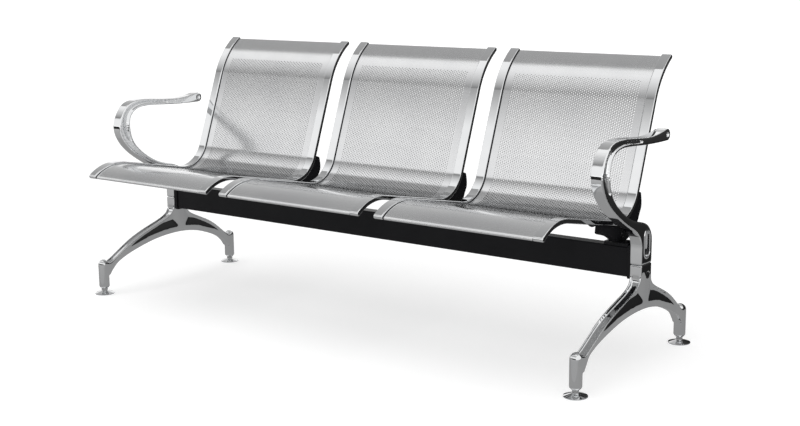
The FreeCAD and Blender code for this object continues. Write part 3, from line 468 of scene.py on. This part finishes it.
# Voxels that the castings are remeshed with, and how far they are smoothed after their side faces are shaped
LEG_VOXEL = 1.5 * MM
LEG_PASSES = 20
ARMREST_VOXEL = 1.2 * MM
ARMREST_PASSES = 14
SMOOTH_FACTOR = 0.5

# How far outwards the normal of a point on a side face points, without and with the face's round edges
FACES_OUT = 0.6
FACES_OUT_OR_ROUND = -0.5

# Armrests: rounded edges, the oblong on the column and the loop's crescent with its pocket in the solid
ARM_HALF_WIDTH = 17 * MM
ARM_EDGE_RUN = 7 * MM
ARM_EDGE_DROP = 4 * MM
ARM_FACE_START = 8 * MM
ARM_CELL = 1.5 * MM
OBLONG_Z = 327 * MM
OBLONG_KEEP = 40 * MM
OBLONG_FADE = 35 * MM
POCKET_FROM_OBLONG = 60 * MM
POCKET_LEAST_DEPTH = 1.4 * MM
POCKET_MOST_DEPTH = 3.6 * MM
CRESCENT_DISH = 2.5 * MM
CRESCENT_HALF_WIDTH = 8 * MM

# Legs: their side view, and what of them stays as it is
COLUMN_HALF_DEPTH = 28 * MM
ARM_RUN = 256 * MM
ARM_END_HALF_WIDTH = 15.5 * MM
POST_RADIUS = 16.5 * MM
POST_CLEARANCE = 1 * MM
POST_KEEP = 3 * MM
POST_FADE = 40 * MM
JOINT_BAND = 4 * MM
BOLT_Y = 76.8 * MM
BOLT_Z = 243 * MM
BOLT_KEEP = 9 * MM
BOLT_CLEARANCE = 12 * MM
LEG_FACE_START = 11.9 * MM
LEG_EDGE_KEEP = 2 * MM
LEG_CELL = 2 * MM

# Legs: the hollows and what rises between them
FLANGE_HEIGHT = 2.5 * MM
FLANGE_FADE = 4 * MM
HOLLOW_DEPTH = 8 * MM
HOLLOW_SLOPE_LENGTH = 28 * MM
HOLLOW_SOFT_START = 0.15
HOLLOW_BELOW_JOINT = 18 * MM
HOLLOW_JOINT_FADE = 22 * MM
WEB_HEIGHT = 15 * MM
WEB_LOW = 155 * MM
WEB_LEAN = 5 * MM
WEB_EDGE_LEAN = 2 * MM
LEAN_FADE = 6 * MM
RIDGE_Y = 74 * MM
RIDGE_PEAK = 243 * MM
RIDGE_HALF_WIDTH = 7 * MM
RIDGE_INTO_WEB = 12 * MM


def apply_modifier(piece, kind, **settings):
    """Gives a piece the mesh that it has after this modifier."""
    modifier = piece.modifiers.new(kind.lower(), kind)
    for name, value in settings.items():
        setattr(modifier, name, value)
    depsgraph = bpy.context.evaluated_depsgraph_get()
    mesh = bpy.data.meshes.new_from_object(piece.evaluated_get(depsgraph))
    piece.modifiers.clear()
    piece.data = mesh


def cast_mesh(node, voxel, passes, shape):
    """A CAD node's own shape with cast edges: remeshed finely, its side faces shaped, and smoothed."""
    blank = bpy.data.objects.new("blank", frame["nodes"][node].data.copy())
    bpy.context.scene.collection.objects.link(blank)
    apply_modifier(blank, "REMESH", mode="VOXEL", voxel_size=voxel, use_smooth_shade=True)
    shape(blank.data, node)
    apply_modifier(blank, "SMOOTH", factor=SMOOTH_FACTOR, iterations=passes)
    mesh = blank.data
    bpy.data.objects.remove(blank)
    mesh.materials.clear()
    mesh.shade_smooth()
    return mesh


def smooth_step(value, width):
    """Rises smoothly from 0 to 1 over this width."""
    t = np.clip(value / width, 0, 1)
    return t * t * (3 - 2 * t)


def smaller(a, b, blend):
    """The smaller of two distances, with a rounded corner where they meet."""
    h = np.clip(0.5 + 0.5 * (a - b) / blend, 0, 1)
    return a * (1 - h) + b * h - blend * h * (1 - h)


def distance_to(places, others):
    """Distance in the side view from each place to the nearest of the others."""
    tree = KDTree(len(others))
    for k, (y, z) in enumerate(others):
        tree.insert((0, y, z), k)
    tree.balance()
    return np.array([tree.find((0, y, z))[2] for y, z in places])


def vertex_arrays(mesh):
    """The mesh's points and normals."""
    arrays = []
    for collection, name in ((mesh.vertices, "co"), (mesh.vertex_normals, "vector")):
        values = np.zeros(3 * len(mesh.vertices))
        collection.foreach_get(name, values)
        arrays.append(values.reshape(-1, 3))
    return arrays


def move_vertices(mesh, points):
    """Puts the mesh's vertices at these points."""
    mesh.vertices.foreach_set("co", points.ravel())
    mesh.update()


def edge_places(side_view, cell):
    """Places along the upper and along the lower edges of a side view that vertices cover densely.

    The side view is laid out in square cells. A filled cell with an empty neighbour is on an edge, and it is
    an upper one if it lies above the middle of what is filled at its Y.
    """
    corner = side_view.min(axis=0)
    index = np.floor((side_view - corner) / cell).astype(int) + 1
    filled = np.zeros(index.max(axis=0) + 2, bool)
    filled[index[:, 0], index[:, 1]] = True
    inner = filled.copy()
    for axis in (0, 1):
        for step in (-1, 1):
            inner &= np.roll(filled, step, axis)
    lowest = np.argmax(filled, axis=1)
    highest = filled.shape[1] - 1 - np.argmax(filled[:, ::-1], axis=1)
    y, z = np.nonzero(filled & ~inner)
    places = corner + (np.stack([y, z], axis=-1) - 0.5) * cell
    in_upper_half = z > ((lowest + highest) / 2)[y]
    return places[in_upper_half], places[~in_upper_half]


def shape_armrest(mesh, node):
    """Rounds an armrest's side faces towards their edges and gives both of them the loop's dished crescent.

    The crescent's place is taken from its pocket in the outer face. Round the oblong nothing moves.
    """
    middle = middle_x(node.replace("armrest", "leg"))
    points, normals = vertex_arrays(mesh)
    u = points[:, 0] - middle
    side_view = points[:, 1:]
    facing = normals[:, 0] * np.sign(u)
    depth = ARM_HALF_WIDTH - abs(u)
    from_oblong = np.hypot(side_view[:, 0] - BEAM_Y, side_view[:, 1] - OBLONG_Z)

    on_outer_face = (facing > FACES_OUT) & (u * middle > 0)
    sunk = on_outer_face & (depth > POCKET_LEAST_DEPTH) & (depth < POCKET_MOST_DEPTH)
    pocket = side_view[sunk & (from_oblong > POCKET_FROM_OBLONG)]
    from_rim = distance_to(side_view, np.concatenate(edge_places(pocket, ARM_CELL)))
    from_outline = distance_to(side_view, np.concatenate(edge_places(side_view, ARM_CELL)))
    in_crescent = distance_to(side_view, pocket) < ARM_CELL

    share = 1 - np.clip(np.minimum(from_rim, from_outline) / ARM_EDGE_RUN, 0, 1)
    rounded = ARM_EDGE_DROP * (1 - np.sqrt(1 - share * share))
    to_middle = np.clip(from_rim / CRESCENT_HALF_WIDTH, 0, 1)
    dished = ARM_EDGE_DROP + CRESCENT_DISH * np.sin(to_middle * math.pi / 2)
    fade = smooth_step(from_oblong - OBLONG_KEEP, OBLONG_FADE)
    surface = ARM_HALF_WIDTH - rounded * fade
    on_face = (facing > FACES_OUT_OR_ROUND) & (abs(u) > ARM_FACE_START)
    new_u = np.where(in_crescent & on_face, ARM_HALF_WIDTH - dished, np.minimum(abs(u), surface))
    new_u = np.where(fade > 0, new_u, abs(u))
    points[:, 0] = middle + np.sign(u) * new_u
    move_vertices(mesh, points)


def shape_leg(mesh, node):
    """Carves the soft hollows of a leg's side faces.

    Below the flange along the arms' upper edge each side face sinks in, and it swells again into a web along
    the arch and a ridge that climbs up the middle of the column.
    """
    low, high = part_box(node)
    middle = (low.x + high.x) / 2
    half_width = (high.x - low.x) / 2
    points, normals = vertex_arrays(mesh)
    u = points[:, 0] - middle
    side_view = points[:, 1:]
    y, z = side_view.T

    from_post = np.minimum(abs(y - low.y - POST_RADIUS), abs(y - high.y + POST_RADIUS)) - POST_RADIUS
    from_bolt = np.hypot(y - BOLT_Y, z - BOLT_Z)
    upper_edge, lower_edge = edge_places(side_view[from_post > POST_CLEARANCE], LEG_CELL)
    upper_edge = upper_edge[np.hypot(*(upper_edge - (BOLT_Y, BOLT_Z)).T) > BOLT_CLEARANCE]
    upper_edge = upper_edge[upper_edge[:, 1] < high.z - JOINT_BAND]
    below_top = distance_to(side_view, upper_edge)
    above_arch = distance_to(side_view, lower_edge)

    above_peak = np.maximum(z - RIDGE_PEAK, 0)
    from_ridge = np.hypot(y - RIDGE_Y, above_peak) - RIDGE_HALF_WIDTH
    from_raised = smaller(from_ridge, above_arch - WEB_HEIGHT, RIDGE_INTO_WEB)
    slope = np.clip(from_raised / HOLLOW_SLOPE_LENGTH, 0, 1)
    hollow = HOLLOW_DEPTH * (np.hypot(slope, HOLLOW_SOFT_START) - HOLLOW_SOFT_START)
    hollow *= smooth_step(below_top - FLANGE_HEIGHT, FLANGE_FADE)
    hollow *= smooth_step(high.z - HOLLOW_BELOW_JOINT - z, HOLLOW_JOINT_FADE)
    lean = WEB_LEAN * np.clip((RIDGE_PEAK - z) / (RIDGE_PEAK - WEB_LOW), 0, 1)
    lean += WEB_EDGE_LEAN * (1 - smooth_step(above_arch, WEB_HEIGHT))
    lean *= smooth_step(below_top - FLANGE_HEIGHT / 2, LEAN_FADE)
    fade = smooth_step(from_post, POST_FADE)

    along_arm = np.clip(abs(y - BEAM_Y) - COLUMN_HALF_DEPTH, 0, None) / ARM_RUN
    flat = half_width - (half_width - ARM_END_HALF_WIDTH) * np.minimum(along_arm, 1)
    surface = flat - (hollow + lean) * fade
    inside = (below_top > LEG_EDGE_KEEP) & (above_arch > LEG_EDGE_KEEP)
    inside &= (from_post > POST_KEEP) & (z < high.z - JOINT_BAND)
    on_face = (normals[:, 0] * np.sign(u) > FACES_OUT_OR_ROUND) & (abs(u) > LEG_FACE_START)
    new_u = np.where(inside & on_face, surface, np.minimum(abs(u), surface))
    new_u = np.where(from_bolt > BOLT_KEEP, new_u, abs(u))
    points[:, 0] = middle + np.sign(u) * new_u
    move_vertices(mesh, points)


# Materials

# Between which values of a noise the roughness and the colour change
ROUGHNESS_NOISE = (0.3, 0.7)
COLOUR_NOISE = (0.35, 0.65)


class Finish:
    """A material whose colour, roughness and height can follow noises fixed to the piece."""

    def __init__(self, name, metallic=0.0):
        self.material = bpy.data.materials.new(name)
        self.material.use_nodes = True
        self.nodes = self.material.node_tree.nodes
        self.links = self.material.node_tree.links
        self.inputs = self.nodes["Principled BSDF"].inputs
        self.inputs["Metallic"].default_value = metallic

    def noise(self, grains, stretch=1.0, detail=3.0):
        """Noise with this many grains to the metre, drawn out along the bench by the stretch."""
        place = self.nodes.new("ShaderNodeTexCoord")
        mapping = self.nodes.new("ShaderNodeMapping")
        mapping.inputs["Scale"].default_value = (grains / stretch, grains, grains)
        texture = self.nodes.new("ShaderNodeTexNoise")
        texture.inputs["Scale"].default_value = 1.0
        texture.inputs["Detail"].default_value = detail
        self.links.new(place.outputs["Object"], mapping.inputs["Vector"])
        self.links.new(mapping.outputs["Vector"], texture.inputs["Vector"])
        return texture.outputs["Fac"]

    def colour(self, noise, first, second):
        """Lets the colour follow a noise from the first to the second."""
        between = self.nodes.new("ShaderNodeValToRGB")
        for stop, position, end in zip(between.color_ramp.elements, COLOUR_NOISE, (first, second)):
            stop.position = position
            stop.color = end + (1.0,)
        self.links.new(noise, between.inputs["Fac"])
        self.links.new(between.outputs["Color"], self.inputs["Base Color"])

    def roughness(self, noise, low, high):
        """Lets the roughness follow a noise from low to high."""
        mapped = self.nodes.new("ShaderNodeMapRange")
        mapped.inputs["From Min"].default_value = ROUGHNESS_NOISE[0]
        mapped.inputs["From Max"].default_value = ROUGHNESS_NOISE[1]
        mapped.inputs["To Min"].default_value = low
        mapped.inputs["To Max"].default_value = high
        self.links.new(noise, mapped.inputs["Value"])
        self.links.new(mapped.outputs["Result"], self.inputs["Roughness"])

    def bump(self, noise, strength, height):
        """Lets the surface rise and sink a little with a noise."""
        node = self.nodes.new("ShaderNodeBump")
        node.inputs["Strength"].default_value = strength
        node.inputs["Distance"].default_value = height
        self.links.new(noise, node.inputs["Height"])
        self.links.new(node.outputs["Normal"], self.inputs["Normal"])


def satin_sheet():
    """Satin sheet steel, brushed along the bench."""
    steel = Finish("satin_sheet", metallic=1.0)
    lines = steel.noise(grains=900, stretch=300)
    clouds = steel.noise(grains=6)
    steel.colour(clouds, (0.76, 0.765, 0.775), (0.82, 0.825, 0.83))
    steel.roughness(lines, 0.13, 0.19)
    steel.bump(lines, strength=0.05, height=0.2 * MM)
    return steel.material


def painted_shade_steel():
    """Painted shade: dark steel inside the punched holes and beside the trims, standing in for the shade in
    the holes and in the gap at the trims.
    """
    steel = Finish("painted_shade_steel", metallic=1.0)
    grain = steel.noise(grains=300)
    # The dark colour is painted shade, not the steel's own colour.
    steel.colour(grain, (0.03, 0.03, 0.032), (0.06, 0.06, 0.062))
    steel.roughness(grain, 0.40, 0.55)
    return steel.material


def polished_chrome():
    """Polished chrome with faint wipe marks."""
    metal = Finish("polished_chrome", metallic=1.0)
    marks = metal.noise(grains=14, detail=6.0)
    metal.colour(marks, (0.80, 0.81, 0.82), (0.85, 0.855, 0.86))
    metal.roughness(marks, 0.03, 0.06)
    swell = metal.noise(grains=30, detail=1.0)
    metal.bump(swell, strength=0.04, height=0.6 * MM)
    return metal.material


def black_coat():
    """Satin black powder coat with a fine orange peel."""
    coat = Finish("black_coat")
    coat.inputs["Specular IOR Level"].default_value = 0.2
    clouds = coat.noise(grains=9)
    coat.colour(clouds, (0.008, 0.008, 0.010), (0.012, 0.012, 0.014))
    coat.roughness(clouds, 0.30, 0.38)
    peel = coat.noise(grains=700, detail=2.0)
    coat.bump(peel, strength=0.12, height=0.3 * MM)
    return coat.material


def black_oxide():
    """Blackened steel of the screws and bolts."""
    steel = Finish("black_oxide", metallic=0.6)
    grain = steel.noise(grains=260)
    steel.colour(grain, (0.018, 0.018, 0.02), (0.035, 0.035, 0.037))
    steel.roughness(grain, 0.22, 0.34)
    return steel.material


def bright_zinc():
    """Zinc plating of the nuts, stems and dowels."""
    metal = Finish("bright_zinc", metallic=1.0)
    grain = metal.noise(grains=180)
    metal.colour(grain, (0.60, 0.61, 0.62), (0.70, 0.70, 0.70))
    metal.roughness(grain, 0.18, 0.30)
    return metal.material


def grey_rubber():
    """Dull rubber of the pads under the feet."""
    rubber = Finish("grey_rubber")
    rubber.inputs["Roughness"].default_value = 0.75
    grain = rubber.noise(grains=400)
    rubber.colour(grain, (0.02, 0.02, 0.02), (0.035, 0.035, 0.035))
    rubber.bump(grain, strength=0.3, height=0.2 * MM)
    return rubber.material


# Stage

WHITE = (1, 1, 1, 1)
WORLD_LIGHT = 0.45
FLOOR_HALF_SIZE = 60.0
FLOOR_GREY = 0.8
FLOOR_GLOW = 0.53
FLOOR_SHINE = 0.22
FLOOR_ROUGHNESS = 0.12

# Where the level cards lie: above the bench, and just over the floor, where they paint shade onto the floor
# as the metal reflects it
OVERHEAD = {"left": -8.0, "right": 2.5, "height": 3.2}
ON_FLOOR = {"left": -8.0, "right": 4.0, "height": 0.002}


def flat_piece(name, corners):
    """A flat piece between four corners, with its mesh."""
    square = [np.array([[0, 1, 2, 3]])]
    mesh = mesh_from(name + "_mesh", np.array(corners, float), square, smooth=False)[0]
    piece = bpy.data.objects.new(name, mesh)
    bpy.context.scene.collection.objects.link(piece)
    return piece, mesh


def bare_material(name):
    """A material without nodes, with its tree's nodes and links."""
    material = bpy.data.materials.new(name)
    material.use_nodes = True
    material.node_tree.nodes.clear()
    return material, material.node_tree.nodes, material.node_tree.links


def seen_directly(nodes, links):
    """One for camera, glossy and transmission rays, nought for the rest."""
    rays = nodes.new("ShaderNodeLightPath")
    total = rays.outputs["Is Camera Ray"]
    for name in ("Is Glossy Ray", "Is Transmission Ray"):
        most = nodes.new("ShaderNodeMath")
        most.operation = "MAXIMUM"
        links.new(total, most.inputs[0])
        links.new(rays.outputs[name], most.inputs[1])
        total = most.outputs["Value"]
    return total


def mix_shaders(nodes, links, first, second):
    """A mix of two shaders, whose Fac is still to be set or linked."""
    mix = nodes.new("ShaderNodeMixShader")
    links.new(first, mix.inputs[1])
    links.new(second, mix.inputs[2])
    return mix


def floor():
    """White floor that keeps the bench's soft shadow.

    For the camera and for reflections it glows up to white.
    """
    far = FLOOR_HALF_SIZE
    plane, mesh = flat_piece("floor", [(-far, -far, 0), (far, -far, 0), (far, far, 0), (-far, far, 0)])
    material, nodes, links = bare_material("white_floor")
    diffuse = nodes.new("ShaderNodeBsdfDiffuse")
    diffuse.inputs["Color"].default_value = (FLOOR_GREY, FLOOR_GREY, FLOOR_GREY, 1)
    gloss = nodes.new("ShaderNodeBsdfGlossy")
    gloss.inputs["Roughness"].default_value = FLOOR_ROUGHNESS
    polished = mix_shaders(nodes, links, diffuse.outputs["BSDF"], gloss.outputs["BSDF"])
    polished.inputs["Fac"].default_value = FLOOR_SHINE
    glow = nodes.new("ShaderNodeEmission")
    glow.inputs["Strength"].default_value = FLOOR_GLOW
    total = nodes.new("ShaderNodeAddShader")
    links.new(polished.outputs["Shader"], total.inputs[0])
    links.new(glow.outputs["Emission"], total.inputs[1])
    mix = mix_shaders(nodes, links, diffuse.outputs["BSDF"], total.outputs["Shader"])
    links.new(seen_directly(nodes, links), mix.inputs["Fac"])
    output = nodes.new("ShaderNodeOutputMaterial")
    links.new(mix.outputs["Shader"], output.inputs["Surface"])
    mesh.materials.append(material)


def world():
    """White surroundings that light the bench softly."""
    surroundings = bpy.data.worlds.new("studio")
    bpy.context.scene.world = surroundings
    surroundings.use_nodes = True
    nodes = surroundings.node_tree.nodes
    links = surroundings.node_tree.links
    shown = nodes["Background"]
    shown.inputs["Color"].default_value = WHITE
    shown.inputs["Strength"].default_value = 1.0
    lit = nodes.new("ShaderNodeBackground")
    lit.inputs["Color"].default_value = WHITE
    lit.inputs["Strength"].default_value = WORLD_LIGHT
    mix = mix_shaders(nodes, links, lit.outputs["Background"], shown.outputs["Background"])
    links.new(seen_directly(nodes, links), mix.inputs["Fac"])
    links.new(mix.outputs["Shader"], nodes["World Output"].inputs["Surface"])


def lamp(name, place, spread_degrees, strength):
    """A broad distant lamp that shines from this direction onto the origin."""
    data = bpy.data.lights.new(name, "SUN")
    data.angle = math.radians(spread_degrees)
    data.energy = strength
    light = bpy.data.objects.new(name, data)
    bpy.context.scene.collection.objects.link(light)
    light.location = place
    light.rotation_mode = "QUATERNION"
    light.rotation_quaternion = (-Vector(place)).to_track_quat("-Z", "Y")
    light.visible_glossy = False


def card(name, near_edge, far_edge, near_grey, far_grey):
    """A plain card, in the studio round the bench, that only shows in the metal's reflections.

    Its grey runs evenly from one edge, given by its two ends, to the other.
    """
    plane, mesh = flat_piece(name, [near_edge[0], near_edge[1], far_edge[1], far_edge[0]])
    shade = mesh.attributes.new("shade", "FLOAT", "POINT")
    shade.data.foreach_set("value", [near_grey, near_grey, far_grey, far_grey])
    material, nodes, links = bare_material(name + "_grey")
    grey = nodes.new("ShaderNodeAttribute")
    grey.attribute_name = "shade"
    glow = nodes.new("ShaderNodeEmission")
    output = nodes.new("ShaderNodeOutputMaterial")
    links.new(grey.outputs["Fac"], glow.inputs["Strength"])
    links.new(glow.outputs["Emission"], output.inputs["Surface"])
    mesh.materials.append(material)
    plane.visible_camera = False
    plane.visible_diffuse = False
    plane.visible_shadow = False
    plane.visible_transmission = False


def standing_card(name, first, second, low, high, low_grey, high_grey):
    """An upright card over the line between two places on the floor, from one height to another."""
    ends = (first, second)
    card(name, [end + (low,) for end in ends], [end + (high,) for end in ends], low_grey, high_grey)


def level_card(name, area, front, rear, front_grey, rear_grey):
    """A level card over the bench or on the floor."""
    edges = []
    for y in (front, rear):
        edges.append([(x, y, area["height"]) for x in (area["left"], area["right"])])
    card(name, edges[0], edges[1], front_grey, rear_grey)


def reflections():
    """Dark and grey cards that give the bright metal something to show; the two just over the floor are
    painted shade on the floor in its reflections.
    """
    standing_card("right_rear", (-2.7, 3.8), (1.6, 0.5), low=0.0, high=1.0, low_grey=0.012, high_grey=0.05)
    level_card("overhead_edge", OVERHEAD, front=-4.05, rear=-3.4, front_grey=1.0, rear_grey=0.24)
    level_card("overhead_front", OVERHEAD, front=-3.4, rear=-0.75, front_grey=0.24, rear_grey=1.0)
    level_card("overhead_rear", OVERHEAD, front=-0.19, rear=5.0, front_grey=0.36, rear_grey=0.65)
    # Painted shade: these grey cards just over the floor are darker near the bench, so the metal reflects
    # the floor as if shaded by the bench
    level_card("painted_floor_shade_front", ON_FLOOR, front=-5.0, rear=-0.4, front_grey=0.90, rear_grey=0.38)
    level_card("painted_floor_shade_rear", ON_FLOOR, front=-0.4, rear=3.0, front_grey=0.34, rear_grey=0.16)
    standing_card("front_strip", (-7.0, -1.65), (1.5, -1.65), low=0.03, high=0.42,
                  low_grey=0.02, high_grey=0.02)


# The photograph's camera

CAMERA_PLACE = (2.416916, -2.962049, 1.057695)
CAMERA_YAW = 0.656
CAMERA_PITCH = 0.189
CAMERA_ROLL = -0.009
CAMERA_SENSOR_WIDTH = 36
CAMERA_LENS = 59.586
CAMERA_SHIFT = (-0.0007, -0.0033)
CAMERA_CLIP_END = 100


def camera():
    """The camera that sees the bench as the photograph does."""
    data = bpy.data.cameras.new("camera")
    data.sensor_fit = "HORIZONTAL"
    data.sensor_width = CAMERA_SENSOR_WIDTH
    data.lens = CAMERA_LENS
    data.shift_x, data.shift_y = CAMERA_SHIFT
    data.clip_end = CAMERA_CLIP_END
    view = bpy.data.objects.new("camera", data)
    bpy.context.scene.collection.objects.link(view)
    forward = Vector((
        -math.sin(CAMERA_YAW) * math.cos(CAMERA_PITCH),
        math.cos(CAMERA_YAW) * math.cos(CAMERA_PITCH),
        -math.sin(CAMERA_PITCH),
    ))
    level = Vector((math.cos(CAMERA_YAW), math.sin(CAMERA_YAW), 0))
    upright = level.cross(forward)
    right = level * math.cos(CAMERA_ROLL) + upright * math.sin(CAMERA_ROLL)
    up = upright * math.cos(CAMERA_ROLL) - level * math.sin(CAMERA_ROLL)
    turn = Matrix((right, up, -forward)).transposed().to_4x4()
    view.matrix_world = Matrix.Translation(CAMERA_PLACE) @ turn
    bpy.context.scene.camera = view


# The scene

SATIN = satin_sheet()
PAINTED_SHADE = painted_shade_steel()
CHROME = polished_chrome()
PAINT = black_coat()
OXIDE = black_oxide()
ZINC = bright_zinc()
RUBBER = grey_rubber()

# What the CAD nodes that stay in view are finished with, by how their names start
FINISHES = (
    (PAINT, ("beam_tube", "end_plate_", "seat_bracket_")),
    (OXIDE, ("trim_screws", "bracket_web_screws", "bracket_base_bolts", "leg_bolts", "armrest_bolts")),
    (ZINC, ("bracket_base_nuts", "column_dowels", "foot_stem_", "foot_lock_nut_")),
    (CHROME, ("foot_disc_",)),
    (RUBBER, ("foot_pad_",)),
)


def dress_seats():
    """Sheets and trims. All seats share one mesh for each kind of piece."""
    # The second seat is centred on X = 0, so its left trim's inner side is half a visible sheet away from it
    trim_low, trim_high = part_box("seat_trim_2_left")
    sheets = perforated_sheet(abs(trim_high.x) + SHEET_INTO_TRIM)
    bar = trim_mesh(trim_high.x - trim_low.x)
    for seat in SEATS:
        panel = "seat_panel_%d" % seat
        for part, sheet in zip(("seat", "back"), sheets):
            name = "sheet_%s_%d" % (part, seat)
            show(name, sheet, (SATIN, PAINTED_SHADE), panel, at_x=middle_x(panel))
        for side in SIDES:
            trim = "seat_trim_%d_%s" % (seat, side)
            name = "trim_bar_%d_%s" % (seat, side)
            show(name, bar, (CHROME,), trim, at_x=middle_x(trim))


def dress_castings():
    """Legs and armrests."""
    for side in SIDES:
        leg = "leg_" + side
        mesh = cast_mesh(leg, LEG_VOXEL, LEG_PASSES, shape_leg)
        show("cast_" + leg, mesh, (CHROME,), leg)
        armrest = "armrest_" + side
        mesh = cast_mesh(armrest, ARMREST_VOXEL, ARMREST_PASSES, shape_armrest)
        show("cast_" + armrest, mesh, (CHROME,), armrest)


def dress_rest():
    """Gives the CAD nodes that stay in view their finish in every slot."""
    for node, piece in frame["nodes"].items():
        for material, starts in FINISHES:
            if node.startswith(starts):
                piece.data.materials.clear()
                piece.data.materials.append(material)


dress_seats()
dress_castings()
dress_rest()
floor()
world()
lamp("key", place=(-1.0, -1.0, 5.0), spread_degrees=50, strength=0.9)
lamp("fill", place=(3.0, -3.0, 4.0), spread_degrees=60, strength=0.4)
reflections()
camera()
bpy.context.scene.view_settings.view_transform = "Standard"
